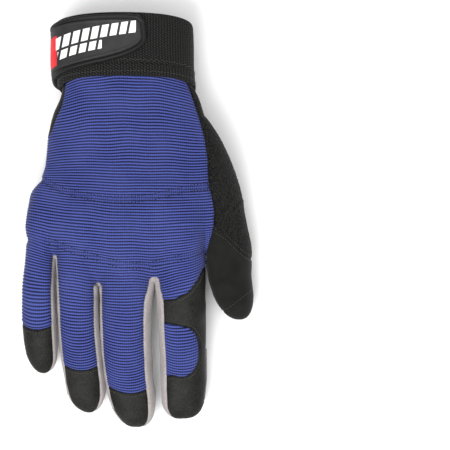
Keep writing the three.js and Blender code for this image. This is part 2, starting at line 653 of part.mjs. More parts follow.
const tips = FINGERS.map((finger) => endOutline(finger, SEWING[finger.name].tip));
const indexEnd = [
  ...INDEX_BACK_END.map(onIndex),
  new THREE.Vector2(onIndex(INDEX_BACK_END[INDEX_BACK_END.length - 1]).x, -REACH),
  new THREE.Vector2(far, -REACH),
  new THREE.Vector2(far, INDEX_BACK_END[0].y * INDEX_LENGTH),
];
const indexPatch = smoothOutline(INDEX_PATCH, onIndex, INDEX_PATCH_POINTS);

const SKIN = { color: 0x262624, roughness: 0.72, metalness: 0 };
const KNIT = { color: 0x3f459e, roughness: 0.85, metalness: 0 };
const SUEDE = { color: 0xa8a2a0, roughness: 0.92, metalness: 0 };
const PATCH = { color: 0x8e8a8d, roughness: 0.9, metalness: 0 };
const TERRY = { color: 0x2a2a2a, roughness: 0.95, metalness: 0 };
const WEBBING = { color: 0x2c2c2c, roughness: 0.9, metalness: 0 };
const RUBBER = { color: 0x242424, roughness: 0.6, metalness: 0 };
const LABEL = { color: 0xe6e4e0, roughness: 0.8, metalness: 0 };

const pieces = [];
const add = (name, material, solid) => pieces.push({ name, material, solid: bend(solid) });

const bluePanel = [...tips.slice(0, 3), indexEnd].reduce(
  (solid, zone) => solid.subtract(through(zone)),
  backSide,
);
add("back_panel", KNIT, bluePanel);
FINGERS.slice(0, 3).forEach((finger, i) => {
  const zone = insetOutline(tips[i], SEAM_GAP);
  add(`fingertip_${finger.name}`, SKIN, backSide.intersect(through(zone)));
});
add(
  "index_back_leather", SKIN,
  backSide.intersect(through(insetOutline(indexEnd, SEAM_GAP))).subtract(through(grown(indexPatch))),
);
add("index_back_patch", KNIT, backSide.intersect(through(indexPatch)));

FINGERS.slice(0, 3).forEach((finger, i) => {
  const web = through(insetOutline(webOutline(i), halfGap));
  const solid = notBack.intersect(web).subtract(prism(grown(palmOutline), -REACH, halfGap));
  add(`fourchette_${finger.name}_${FINGERS[i + 1].name}`, SUEDE, solid);
});

const palmZone = below(palmOutline).add(through(wristSide));
add("palm_panel", SKIN, notBack.intersect(palmZone).subtract(prism(grown(thumbOuter), -REACH, 0)));
const thumbFront = insetOutline(thumbBelow, SEAM_GAP);
add("thumb_front", SKIN, wall.intersect(below(thumbFront)).subtract(through(grown(thumbOuter))));
const thumbBack = insetOutline(thumbAbove, SEAM_GAP);
const thumbZone = above(thumbBack)
  .add(below(thumbOuter))
  .add(through(thumbOuter).intersect(through(thumbBack)));
add("thumb_back", TERRY, wall.intersect(thumbZone));

const overlay = handForm(PATCH_GAP + PATCH_THICKNESS, 0, OUTSIDE).subtract(
  handForm(PATCH_GAP, CUFF_OVERLAP, OUTSIDE),
);
const lay = (outline) => overlay.intersect(below(outline)).intersect(below(insetOutline(palmOutline, EDGE_MARGIN)));
add("palm_patch_crescent", PATCH, lay(smoothOutline(CRESCENT_PATCH, onPalm, PATCH_POINTS)));
add("palm_patch_knuckle", PATCH, lay(smoothOutline(KNUCKLE_PATCH, onPalm, PATCH_POINTS)));
FINGERS.forEach((finger) => {
  add(`tip_pad_${finger.name}`, PATCH, lay(endOutline(finger, SEWING[finger.name].pad)));
});

const hemTop = CUFF_BOTTOM + HEM_HEIGHT;
const slab = (from, to) =>
  through([
    new THREE.Vector2(-far, from), new THREE.Vector2(far, from),
    new THREE.Vector2(far, to), new THREE.Vector2(-far, to),
  ]);
const cuffWall = cuffForm(0, 0).subtract(cuffForm(-CUFF_WALL, CUFF_OVERLAP));
add("cuff_hem", WEBBING, cuffWall.intersect(slab(CUFF_BOTTOM + SEAM_GAP, hemTop)));
add("cuff_band", WEBBING, cuffWall.intersect(slab(hemTop + SEAM_GAP, CUFF_TOP)));
const strapWall = cuffForm(SEAM_GAP + STRAP_THICKNESS, 0).subtract(cuffForm(SEAM_GAP, CUFF_OVERLAP));
const strapZone = prism(STRAP_TAB.map(onCuff), 0, REACH).add(prism(STRAP_END.map(onCuff), -REACH, 0));
add("closure_strap", RUBBER, strapWall.intersect(strapZone));
const labelBase = SEAM_GAP * 2 + STRAP_THICKNESS;
const labelWall = cuffForm(labelBase + LABEL_THICKNESS, 0).subtract(cuffForm(labelBase, CUFF_OVERLAP));
add("size_label", LABEL, labelWall.intersect(below(SIZE_LABEL.map(onCuff))));
add("name_label", LABEL, labelWall.intersect(below(NAME_LABEL.map(onCuff))));

// The glove stands on the floor, with its middle over the origin.
const boxes = pieces.map(({ solid }) => solid.boundingBox());
const lowest = [0, 1, 2].map((axis) => Math.min(...boxes.map((box) => box.min[axis])));
const highest = [0, 1].map((axis) => Math.max(...boxes.map((box) => box.max[axis])));

const glove = new THREE.Group();
glove.name = "work_glove";
pieces.forEach(({ name, material, solid }) => {
  const placed = solid.translate([
    -(lowest[0] + highest[0]) / 2, -(lowest[1] + highest[1]) / 2, -lowest[2],
  ]);
  const mesh = placed.getMesh();
  const geometry = new THREE.BufferGeometry();
  geometry.setAttribute("position", new THREE.BufferAttribute(Float32Array.from(mesh.vertProperties), 3));
  geometry.setIndex(new THREE.BufferAttribute(Uint32Array.from(mesh.triVerts), 1));
  const node = new THREE.Mesh(geometry.toNonIndexed(), new THREE.MeshStandardMaterial(material));
  node.geometry.computeVertexNormals();
  node.name = name;
  glove.add(node);
});

export default glove;
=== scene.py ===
# %% [markdown]
# # A leather palm work glove
# This lesson dresses a plain CAD glove in its real materials: ribbed knit, leather, suede, terry, elastic
# and a moulded strap. The CAD model comes in first, because every piece made here has to fit it.

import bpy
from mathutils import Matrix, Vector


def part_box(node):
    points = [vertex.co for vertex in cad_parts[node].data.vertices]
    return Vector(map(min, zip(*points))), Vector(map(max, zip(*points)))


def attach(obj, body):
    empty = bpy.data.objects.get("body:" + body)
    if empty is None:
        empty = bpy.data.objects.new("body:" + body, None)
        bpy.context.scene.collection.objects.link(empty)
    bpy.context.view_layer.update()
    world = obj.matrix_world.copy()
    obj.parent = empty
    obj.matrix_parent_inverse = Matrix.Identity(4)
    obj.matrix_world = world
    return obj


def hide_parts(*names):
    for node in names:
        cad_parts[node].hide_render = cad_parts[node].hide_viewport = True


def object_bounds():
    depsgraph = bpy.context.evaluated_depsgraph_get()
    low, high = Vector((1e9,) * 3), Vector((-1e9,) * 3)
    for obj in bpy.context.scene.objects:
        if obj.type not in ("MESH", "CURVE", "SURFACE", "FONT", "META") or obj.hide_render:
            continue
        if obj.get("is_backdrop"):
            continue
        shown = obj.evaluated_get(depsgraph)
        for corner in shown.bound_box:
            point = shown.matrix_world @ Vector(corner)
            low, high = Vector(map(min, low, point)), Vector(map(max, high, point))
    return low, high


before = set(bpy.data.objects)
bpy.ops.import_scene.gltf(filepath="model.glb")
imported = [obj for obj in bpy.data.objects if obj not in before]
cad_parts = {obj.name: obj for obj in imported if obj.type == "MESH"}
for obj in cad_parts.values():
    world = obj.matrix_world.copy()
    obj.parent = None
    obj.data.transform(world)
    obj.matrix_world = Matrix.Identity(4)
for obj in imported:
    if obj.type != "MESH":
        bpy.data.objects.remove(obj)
cad_low, cad_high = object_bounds()
print("CAD box in mm:", [round(1000 * v) for v in (cad_high - cad_low)])

# %% [markdown]
# ## The form as tables
# A real glove is drafted flat, from a set of widths at stations along the hand. The same is done here,
# because a table is easy to read and to mend: each digit and the hand is a tube of rounded sections, one
# row of the table to a station. All sizes are in millimetres, and MM turns them into Blender's metres at
# the end.

# %% Sizes
import math
from functools import partial

import bpy
import numpy as np

MM = 0.001
PALM_WIDTH, PALM_LENGTH, PALM_DEPTH = 110.0, 83.0, 40.0
HALF = PALM_WIDTH / 2
CUFF_WIDTH, CUFF_HEIGHT, CUFF_DEPTH = 84.0, 37.0, 40.0
HEM_HEIGHT = 7.0
HAND_ROUND, FINGER_ROUND, THUMB_ROUND = 46.0, 20.0, 24.0
# The power of the rounded sections above and below, and how flat the underside is cut.
UPPER, LOWER, FLAT = 2.3, 2.9, 0.97
print("palm:", PALM_WIDTH, "x", PALM_LENGTH, "mm, cuff:", CUFF_WIDTH, "x", CUFF_HEIGHT, "mm")

# %% [markdown]
# Between two rows a real contour is smooth. A spline through the rows gives that, and it is kept level
# wherever a column turns, so that no width swings past its neighbours.

# %% A table reader
TABLE_STEPS = 1500


def reader(names, rows):
    """A function of place for each column after the first, smooth through the rows."""
    data = np.array(sorted(rows), float)
    place = data[:, 0]
    fine = np.linspace(place[0], place[-1], TABLE_STEPS)
    i = np.clip(np.searchsorted(place, fine) - 1, 0, len(place) - 2)
    span = place[i + 1] - place[i]
    t = (fine - place[i]) / span
    read = {}
    for k, name in enumerate(names.split()):
        v = data[:, k + 1]
        step = np.diff(v) / np.diff(place)
        slope = np.empty(len(v))
        slope[0], slope[-1] = step[0], step[-1]
        slope[1:-1] = (v[2:] - v[:-2]) / (place[2:] - place[:-2])
        slope[1:-1][step[1:] * step[:-1] <= 0] = 0
        dense = (
            v[i] * (1 + 2 * t) * (1 - t) ** 2 + slope[i] * span * t * (1 - t) ** 2
            + v[i + 1] * t * t * (3 - 2 * t) - slope[i + 1] * span * t * t * (1 - t)
        )
        read[name] = partial(np.interp, xp=fine, fp=dense)
    return read


HAND = reader("left right up down", [
    (1.0, -0.64, 0.778, 0.93, 0.93), (0.915, -0.669, 0.845, 0.95, 0.93), (0.8, -0.742, 0.9, 0.98, 0.94),
    (0.65, -0.793, 0.951, 1.01, 0.95), (0.5, -0.815, 0.978, 1.03, 0.94), (0.36, -0.847, 1.0, 1.03, 0.92),
    (0.23, -0.949, 1.024, 1.07, 0.9), (0.1, -0.993, 1.047, 1.08, 0.88),
])
print("hand width at the knuckles:", round(float(HAND["right"](0.1) - HAND["left"](0.1)) * HALF, 1), "mm")

# %% [markdown]
# The fingers are four tubes of their own. A filled finger is not straight: its rows shift sideways and
# thin out towards the tip, as the relaxed fingers in a glove do.

# %% Fingers


def finger(base, length, width, depth, rows, blunt=2.2):
    """A finger: its middle at the knuckle line, its size, its rows of along, shift, half, up and down, and the
    power of its rounded end, which is blunter as it grows."""
    return {"base": base * HALF, "length": length, "width": width, "depth": depth, "blunt": blunt,
            "start": -rows[0][0] * length, "read": reader("shift half up down", rows)}


FINGERS = [
    finger(-0.873, 90.0, 20.4, 21.0, [
        (-0.38, 0.32, 0.2, 0.45, 0.4), (-0.08, 0.06, 0.37, 0.64, 0.56), (0.1, 0.0, 0.42, 0.66, 0.58),
        (0.25, -0.05, 0.435, 0.58, 0.54), (0.45, -0.11, 0.475, 0.51, 0.5), (0.65, -0.11, 0.5, 0.48, 0.5),
        (0.8, -0.08, 0.49, 0.45, 0.46), (1.0, 0.03, 0.49, 0.42, 0.44)]),
    finger(-0.49, 114.0, 25.0, 24.0, [
        (-0.12, 0, 0.44, 0.6, 0.5), (0.1, 0, 0.48, 0.7, 0.6), (0.28, 0.01, 0.485, 0.6, 0.55),
        (0.5, 0.03, 0.495, 0.51, 0.5), (0.7, 0.1, 0.5, 0.47, 0.49), (0.85, 0.18, 0.5, 0.43, 0.45),
        (1.0, 0.26, 0.49, 0.41, 0.43)]),
    finger(0.06, 123.0, 31.0, 26.0, [
        (-0.11, 0, 0.44, 0.6, 0.5), (0.1, 0, 0.49, 0.7, 0.58), (0.26, 0, 0.51, 0.6, 0.55),
        (0.5, -0.02, 0.5, 0.51, 0.5), (0.7, 0.01, 0.485, 0.47, 0.49), (0.85, 0.09, 0.46, 0.43, 0.45),
        (1.0, 0.19, 0.45, 0.41, 0.43)]),
    finger(0.662, 117.0, 29.0, 25.0, [
        (-0.11, 0, 0.46, 0.58, 0.5), (0.1, 0, 0.5, 0.68, 0.58), (0.26, 0, 0.505, 0.6, 0.55),
        (0.5, 0.01, 0.5, 0.51, 0.5), (0.7, 0.03, 0.475, 0.47, 0.49), (0.85, 0.035, 0.475, 0.43, 0.45),
        (1.0, 0.01, 0.47, 0.41, 0.43)], 3.0),
]
LITTLE, _, MIDDLE, INDEX = FINGERS
print("finger lengths:", [f["length"] for f in FINGERS], "mm")

# %% [markdown]
# The thumb leaves the hand at the side of the wrist. The cuff is a flat ring. The last table bends the
# whole glove: how high the hand and the thumb lie at each station, how much the little-finger side
# droops, and how far the sections lean.

# %% Thumb, cuff and bend
THUMB_ROOT, THUMB_LENGTH, THUMB_WIDTH, THUMB_DEPTH = 0.9 * PALM_LENGTH, 132.0, 31.0, 28.0
THUMB = reader("shift half up down", [
    (0.0, 0.545, 0.42, 0.4, 0.4), (0.136, 0.755, 0.484, 0.47, 0.47), (0.227, 0.873, 0.49, 0.5, 0.5),
    (0.34, 0.973, 0.5, 0.515, 0.515), (0.477, 1.067, 0.494, 0.51, 0.51), (0.636, 1.155, 0.477, 0.49, 0.49),
    (0.75, 1.195, 0.435, 0.465, 0.465), (0.818, 1.208, 0.416, 0.44, 0.45), (1.0, 1.3, 0.41, 0.42, 0.43),
])
CUFF = reader("left right", [
    (0.0, -0.9, 1.076), (0.25, -0.95, 1.055), (0.5, -0.96, 1.045), (1.0, -0.952, 1.038),
])
BEND = reader("hand thumb droop lean", [
    (1.6, 0.59, 0.59, 0, 19), (1.0, 0.59, 0.59, 0, 17), (0.72, 0.62, 0.58, 0.02, 11),
    (0.28, 0.7, 0.44, 0.06, 3), (0.0, 0.71, 0.39, 0.07, -1), (-0.24, 0.635, 0.36, 0.07, -7),
    (-0.5, 0.505, 0.34, 0.06, -13), (-0.73, 0.4, 0.345, 0.02, -17), (-1.0, 0.33, 0.33, 0, -20),
])
print("knuckles' middle plane:", round(float(BEND["hand"](0.0)) * PALM_DEPTH, 1), "mm high")

# %% [markdown]
# A section is four numbers: its middle, its half width, and its height above and below. Towards a tip
# they all shrink together along a rounded curve.

# %% Sections
HAND_BLUNT, THUMB_BLUNT = 1.8, 2.2


def end_scale(y, start, end_round, power):
    """How far a tube has closed at y, from 1 where its rounded end starts to 0 at the tip."""
    reach = np.clip((start - y) / end_round, 0, 1)
    return (1 - reach**power) ** (1 / power)


def hand_section(y):
    """The hand's middle, half width, height above and height below, at each y."""
    at = y / PALM_LENGTH
    left, right = HAND["left"](at) * HALF, HAND["right"](at) * HALF
    s = end_scale(y, 0.1 * PALM_LENGTH, HAND_ROUND, HAND_BLUNT)
    return ((left + right) / 2, (right - left) / 2 * s, HAND["up"](at) * PALM_DEPTH / 2 * s,
            HAND["down"](at) * PALM_DEPTH / 2 * s)


def finger_section(f, y, closing=True):
    """The same four numbers for a finger, whose tip is left open if closing is false."""
    at = -y / f["length"]
    s = end_scale(y, FINGER_ROUND - f["length"], FINGER_ROUND, f["blunt"]) if closing else 1.0
    r = f["read"]
    return (f["base"] + r["shift"](at) * f["width"], r["half"](at) * f["width"] * s,
            r["up"](at) * f["depth"] * s, r["down"](at) * f["depth"] * s)


def thumb_section(y):
    """The same four numbers for the thumb."""
    at = (THUMB_ROOT - y) / THUMB_LENGTH
    s = end_scale(y, THUMB_ROOT - THUMB_LENGTH + THUMB_ROUND, THUMB_ROUND, THUMB_BLUNT)
    return (THUMB["shift"](at) * HALF, THUMB["half"](at) * THUMB_WIDTH * s, THUMB["up"](at) * THUMB_DEPTH * s,
            THUMB["down"](at) * THUMB_DEPTH * s)


print("middle finger, half width at -60 mm:", round(float(finger_section(MIDDLE, -60.0)[1]), 1), "mm")

# %% [markdown]
# ## One skin over all the tubes
# Where two digits meet, a real glove has a soft valley. The tubes could be joined by a boolean and then
# rounded, but a smooth maximum of their heights gives that valley without any cutting. The underside of
# each tube is a little flat, where the glove lies on the floor.

# %% The upper and lower skin
BLEND = 1.6  # how round the valleys are
FADE, LITTLE_FADE = 12.0, 0.2  # how far a tube takes to rise out of the hand
SINK = 8.0  # how deep it starts
NO_SKIN, SKIN_FROM = -99.0, 0.5


def skin(x, y, side):
    """Height of the glove's upper (side 1) or lower (side -1) skin above or below its middle plane."""
    power = UPPER if side > 0 else LOWER
    heights = []
    tubes = [(hand_section(y), PALM_LENGTH + 60, FADE)]
    tubes += [(finger_section(f, y), f["start"], LITTLE_FADE if f is LITTLE else FADE) for f in FINGERS]
    tubes += [(thumb_section(y), THUMB_ROOT, FADE)]
    for (c, a, up, down), start, fade_in in tubes:
        b = up if side > 0 else down
        u = np.abs(x - c) / np.maximum(a, 1e-6)
        h = b * (1 - np.minimum(u, 1) ** power) ** (1 / power)
        if side < 0:
            h = np.minimum(h, FLAT * b)
        fade = np.clip((start - y) / fade_in, 0, 1)
        heights.append(np.where((u < 1) & (y < start), h - SINK * (1 - fade), NO_SKIN))
    stack = np.stack(heights)
    top = stack.max(0)
    mixed = top + BLEND * np.log(np.exp((stack - top) / BLEND).sum(0))
    return np.maximum(np.where(top > SKIN_FROM, mixed, top), 0)


print("height over the knuckles:", round(float(skin(np.zeros(1), np.zeros(1), 1)[0]), 1), "mm")

# %% [markdown]
# Everything is drawn straight and flat, and bent last. One function does that for every panel, so
# neighbours stay side by side. The CAD model was made in the same way and then moved to its own origin.
# The cuff shows how far, because it is a plain ring: the same ring is bent here, and its box is laid over
# the CAD cuff's box.

# %% Bend and place
THUMB_FROM, THUMB_TO = 0.78, 1.3
shift = np.zeros(3)


def bend(flat):
    """Bends flat points in mm into the lying glove, in metres."""
    x, y, z = flat[..., 0], flat[..., 1], flat[..., 2]
    at = np.where(y >= 0, y / PALM_LENGTH, y / MIDDLE["length"])
    t = np.clip((x / HALF - THUMB_FROM) / (THUMB_TO - THUMB_FROM), 0, 1)
    side = t * t * (3 - 2 * t)
    hand = BEND["hand"](at) - BEND["droop"](at) * np.minimum(x / HALF, 0) ** 2
    lift = PALM_DEPTH * (hand + (BEND["thumb"](at) - hand) * side)
    return (np.stack([x, y + z * np.tan(np.radians(BEND["lean"](at))), z + lift], -1) + shift) * MM


def cuff_ring(y, angle, offset):
    """Flat points on the cuff's outside, grown by offset, at each y and angle."""
    at = (y - PALM_LENGTH) / CUFF_HEIGHT
    left, right = CUFF["left"](at) * CUFF_WIDTH / 2, CUFF["right"](at) * CUFF_WIDTH / 2
    c, a = (left + right) / 2, (right - left) / 2
    co, si = np.cos(angle), np.sin(angle)
    power = np.where(si >= 0, UPPER, LOWER)
    x = c + (a + offset) * np.sign(co) * np.abs(co) ** (2 / power)
    z = (CUFF_DEPTH / 2 + offset) * np.sign(si) * np.abs(si) ** (2 / power)
    return np.stack([x, y + 0 * z, np.maximum(z, -(FLAT * CUFF_DEPTH / 2 + offset))], -1)


probe_y, probe_a = np.meshgrid([PALM_LENGTH + HEM_HEIGHT + 0.5, PALM_LENGTH + CUFF_HEIGHT],
                               np.linspace(0, 2 * np.pi, 28, endpoint=False))
probe = bend(cuff_ring(probe_y, probe_a, 0.0)).reshape(-1, 3) / MM
low, high = (np.array(v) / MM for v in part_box("cuff_band"))
shift = (low + high) / 2 - (probe.min(0) + probe.max(0)) / 2
print("frame shift in mm:", shift.round(2), "cuff box error:", (high - low - np.ptp(probe, axis=0)).round(2))

# %% [markdown]
# ## Sheets with real thickness
# Every panel is a sheet with an outside, an inside and a rim. It starts as a grid of points on the skin,
# is trimmed along its pattern outline as scissors would, and its edges are rolled inwards, because a sewn
# seam turns both edges under. A boolean could trim it too, but it would leave long thin faces that spoil
# the light. First come the outline's distance, a smooth line, and the shape of a turned edge.

# %% Outlines and edges


def inside(outline, x, y):
    """Distance from each point to a closed outline, positive inside it."""
    outline = np.asarray(outline, float)
    near = np.full(x.shape, 1e9)
    odd = np.zeros(x.shape, bool)
    for (ax, ay), (bx, by) in zip(outline, np.roll(outline, -1, 0)):
        ex, ey = bx - ax, by - ay
        size = ex * ex + ey * ey
        if size < 1e-12:
            continue
        t = np.clip(((x - ax) * ex + (y - ay) * ey) / size, 0, 1)
        near = np.minimum(near, (x - ax - t * ex) ** 2 + (y - ay - t * ey) ** 2)
        if ey:
            crosses = (ay > y) != (by > y)
            odd ^= crosses & (x < ax + (y - ay) * ex / ey)
    return np.sqrt(near) * np.where(odd, 1, -1)


def smooth_line(points, per=6, closed=False):
    """A smooth line through points."""
    p = np.asarray(points, float)
    n = len(p)
    out = []
    for i in range(n if closed else n - 1):
        a, b, c, d = (p[(i + k) % n] if closed else p[min(max(i + k, 0), n - 1)] for k in (-1, 0, 1, 2))
        for t in np.arange(per) / per:
            out.append(0.5 * (2 * b + (c - a) * t + (2 * a - 5 * b + 4 * c - d) * t**2
                              + (3 * b - a - 3 * c + d) * t**3))
    if not closed:
        out.append(p[-1])
    return np.array(out)


def roll(edge, width=1.8, depth=0.8):
    """How deep a turned-under edge drops at this distance from it."""
    t = np.clip(edge / width, 0, 1)
    return -depth * (1 - t) ** 2


def arcs(flat):
    """Distance along each row of a grid from its first and from its last point, in mm."""
    step = np.linalg.norm(np.diff(flat, axis=1), axis=-1)
    run = np.concatenate([np.zeros((len(flat), 1)), np.cumsum(step, 1)], 1)
    return run, run[:, -1:] - run


print("a turned edge drops", float(-roll(0.0)), "mm")

# %% [markdown]
# The grid is trimmed face by face. A face wholly inside the outline stays, and one that the outline
# crosses is cut where the distance is nought, so the edge is clean at any grid spacing. Each point
# carries its flat place for the cloth's pattern, its distance to the seam, and a tag that tells one
# finish from another on the same piece.

# %% Trimmed grids
MAP_UNIT = 100.0  # the flat map counts in tenths of a metre


def grid(flat, keep, outer, inner, closed=False, uv=None, edge=None, tag=None):
    """One sheet from a grid of flat points: its data and its outside's faces. keep is positive where the
    sheet is, outer and inner are how far its sides stand off the skin in mm, edge is the distance to a seam,
    and closed joins the last column to the first."""
    world = bend(flat)
    wide = np.concatenate([world[:, -2:-1], world, world[:, 1:2]], 1) if closed else world
    across = np.gradient(wide, axis=1)
    across = across[:, 1:-1] if closed else across
    normal = np.cross(across, np.gradient(world, axis=0))
    size = np.linalg.norm(normal, axis=-1, keepdims=True)
    normal = normal / np.maximum(size, 1e-12)
    shape = flat.shape[:2]
    outer, inner, keep = (np.broadcast_to(v, shape) for v in (outer, inner, keep))
    edge = keep if edge is None else edge
    uv = flat[..., :2] if uv is None else uv
    tag = np.ones(shape) if tag is None else tag
    pool = np.concatenate([world + normal * outer[..., None] * MM, world + normal * inner[..., None] * MM,
                           uv / MAP_UNIT, edge[..., None], tag[..., None]], -1)
    rows, cols = shape
    if closed:
        cols -= 1
        pool, keep = pool[:, :-1], keep[:, :-1]
    index = np.arange(rows * cols).reshape(rows, cols)
    index = np.concatenate([index, index[:, :1]], 1) if closed else index
    quads = np.stack([index[:-1, :-1], index[:-1, 1:], index[1:, 1:], index[1:, :-1]], -1).reshape(-1, 4)
    kept, data = keep.reshape(-1), pool.reshape(rows * cols, -1)
    count = (kept[quads] > 0).sum(1)
    faces = quads[count == 4].tolist()
    cuts, extra = {}, []
    for quad in quads[(count > 0) & (count < 4)].tolist():
        made = []
        for a, b in zip(quad, quad[1:] + quad[:1]):
            if kept[a] > 0:
                made.append(a)
            if (kept[a] > 0) != (kept[b] > 0):
                key = (min(a, b), max(a, b))
                if key not in cuts:
                    t = kept[key[0]] / (kept[key[0]] - kept[key[1]])
                    cuts[key] = rows * cols + len(extra)
                    extra.append(data[key[0]] * (1 - t) + data[key[1]] * t)
                made.append(cuts[key])
        faces.append(made)
    return (np.concatenate([data, np.array(extra)]) if extra else data), faces


# %% [markdown]
# A sheet is closed by a copy of its faces on the inside, turned round so that it faces inwards, and by a
# rim of narrow faces along its edge. The finished object takes the name of the CAD node with _sewn after
# it.

# %% Closed sheets and pieces


def closed_sheet(data, faces):
    """Outside, inside and rim of one sheet: its points, its two sides' faces, its rim and its map data."""
    used = np.unique(np.concatenate([np.array(f) for f in faces]))
    renumber = np.full(len(data), -1)
    renumber[used] = np.arange(len(used))
    data = data[used]
    faces = [[int(renumber[i]) for i in f] for f in faces]
    n = len(data)
    edges = {(a, b) for f in faces for a, b in zip(f, f[1:] + f[:1])}
    rim = [[b, a, a + n, b + n] for a, b in edges if (b, a) not in edges]
    points = np.concatenate([data[:, :3], data[:, 3:6]])
    inner = [[i + n for i in reversed(f)] for f in faces]
    return points, faces + inner, rim, np.concatenate([data[:, 6:]] * 2)


def piece(name, parts, material):
    """Makes the object of a pattern piece, ties it to the body and puts it in the CAD node's place."""
    points, faces, rims, maps, base = [], [], [], [], 0
    for part in parts:
        p, f, r, m = closed_sheet(*part)
        points.append(p)
        maps.append(m)
        faces += [[i + base for i in face] for face in f]
        rims += [[i + base for i in face] for face in r]
        base += len(p)
    maps = np.concatenate(maps).astype(np.float32)
    mesh = bpy.data.meshes.new(name + "_sewn")
    mesh.from_pydata(np.concatenate(points).tolist(), [], faces + rims)
    loops = np.empty(len(mesh.loops), np.int32)
    mesh.loops.foreach_get("vertex_index", loops)
    mesh.uv_layers.new(name="flat").data.foreach_set("uv", maps[loops, :2].ravel())
    for k, label in ((2, "edge"), (3, "tag")):
        mesh.attributes.new(label, "FLOAT", "POINT").data.foreach_set("value", maps[:, k].copy())
    mesh.polygons.foreach_set("use_smooth", np.arange(len(mesh.polygons)) < len(faces))
    mesh.materials.append(material)
    mesh.validate()
    mesh.update()
    made = bpy.data.objects.new(name + "_sewn", mesh)
    bpy.context.scene.collection.objects.link(made)
    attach(made, "root")
    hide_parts(name)
    print(name, len(faces) + len(rims), "faces")
    return made


swatch = np.stack([*np.meshgrid([0.0, 1.0, 2.0], [0.0, 1.0, 2.0]), np.zeros((3, 3))], -1)
_, sides, rim, _ = closed_sheet(*grid(swatch, 1.0, 0.5, -0.5))
print("a swatch of four faces closes with", len(sides), "side faces and", len(rim), "rim faces")

# %% [markdown]
# ## Colours and cloths
# Each material is a real cloth or hide, with its colour read as sRGB and its pattern sized in
# millimetres. An image of the cloth could be wrapped round the pieces, but a pattern of nodes stays sharp
# at any size. It reads the piece's own flat map, so ribs and weave follow the sewing pattern and not the
# room. One function adds every node in this lesson.

# %% Node and colour helpers
MATH, MIX, RANGE, BUMP = "ShaderNodeMath", "ShaderNodeMix", "ShaderNodeMapRange", "ShaderNodeBump"
NOISE, CELLS, POINT = "ShaderNodeTexNoise", "ShaderNodeTexVoronoi", "ShaderNodeAttribute"
COLOURS = {"out": 2, "data_type": "RGBA"}  # settings of a mix of two colours, its sockets 6 and 7
PER_METRE = 1000.0


def node(tree, kind, inputs, out=0, **settings):
    """Adds one node with its settings and its inputs, and returns one of its outputs. The inputs are a list for
    the first sockets in order, or a dict by their names or numbers: each a value, a link or an sRGB code."""
    made = tree.nodes.new(kind)
    for key, value in settings.items():
        setattr(made, key, value)
    for key, value in inputs.items() if isinstance(inputs, dict) else enumerate(inputs):
        if isinstance(value, bpy.types.NodeSocket):
            tree.links.new(value, made.inputs[key])
        else:
            made.inputs[key].default_value = linear(value) if isinstance(value, str) else value
    return made.outputs[out]


def linear(code):
    """An sRGB hex code as a linear colour."""
    parts = [int(code[k:k + 2], 16) / 255 for k in (1, 3, 5)]
    return [c / 12.92 if c <= 0.04045 else ((c + 0.055) / 1.055) ** 2.4 for c in parts] + [1.0]


print("mid grey is linear", round(linear("#808080")[0], 3))

# %% [markdown]
# Every cloth starts from the same shader. Cloth and leather reflect little, so the specular level is low,
# and sheen gives the bloom of loose fibres. Two patterns come back often: a wave along the cloth, and a
# stripe.

# %% The cloth maker
CLOTH_SPECULAR = 0.18


class Cloth:
    """A material with one principled shader, the flat map in mm as x and y, and the piece's own coordinates."""

    def __init__(self, name, roughness, sheen=0.0):
        self.material = bpy.data.materials.new(name)
        self.material.use_nodes = True
        self.tree = self.material.node_tree
        self.surface = self.tree.nodes["Principled BSDF"].inputs
        self.surface["Roughness"].default_value = roughness
        self.surface["Sheen Weight"].default_value = sheen
        self.surface["Specular IOR Level"].default_value = CLOTH_SPECULAR
        flat = self.add("ShaderNodeUVMap", {}, uv_map="flat")
        self.x, self.y = (
            self.add(MATH, [self.add("ShaderNodeSeparateXYZ", {0: flat}, axis), MAP_UNIT], operation="MULTIPLY")
            for axis in (0, 1))
        self.place = self.add("ShaderNodeTexCoord", {}, "Object")

    def add(self, kind, inputs, out=0, **settings):
        return node(self.tree, kind, inputs, out, **settings)

    def grain(self, size, **more):
        """The inputs of a texture whose features are this many mm apart."""
        return {"Vector": self.place, "Scale": PER_METRE / size, **more}

    def wave(self, along, pitch):
        """A wave from 0 to 1 with its crest on every whole pitch in mm."""
        turn = self.add(MATH, [along, 2 * math.pi / pitch], operation="MULTIPLY")
        return self.add(MATH, [self.add(MATH, [turn], operation="COSINE"), 0.5, 0.5], operation="MULTIPLY_ADD")

    def stripe(self, value, low, high):
        """1 where low < value < high, else 0."""
        above = self.add(MATH, [value, low], operation="GREATER_THAN")
        below = self.add(MATH, [value, high], operation="LESS_THAN")
        return self.add(MATH, [above, below], operation="MULTIPLY")

    def finish(self, colour, relief, depth):
        """Sets the colour and a relief of this depth in mm, which only the light reads."""
        if isinstance(colour, str):
            self.surface["Base Color"].default_value = linear(colour)
        else:
            self.tree.links.new(colour, self.surface["Base Color"])
        relief = self.add(BUMP, {"Strength": 1.0, "Distance": depth * MM, "Height": relief})
        self.tree.links.new(relief, self.surface["Normal"])
        return self.material


print("cloth specular level:", CLOTH_SPECULAR)

# %% [markdown]
# ### Ribbed stretch knit
# The back is a polyester knit over elastic. Its ridges are light yarn, and its grooves are painted dark as the
# shade that falls in them. The ribs are 1.63 mm apart. The loops along a rib are really about 0.6 mm wide,
# too fine to show, so they are drawn 1.25 mm wide. Where the seams of the knuckle band press the knit flat,
# the ridges fade.

# %% Knit
RIB, LOOP = 1.63, 1.25
FLAT_TONE = 0.45

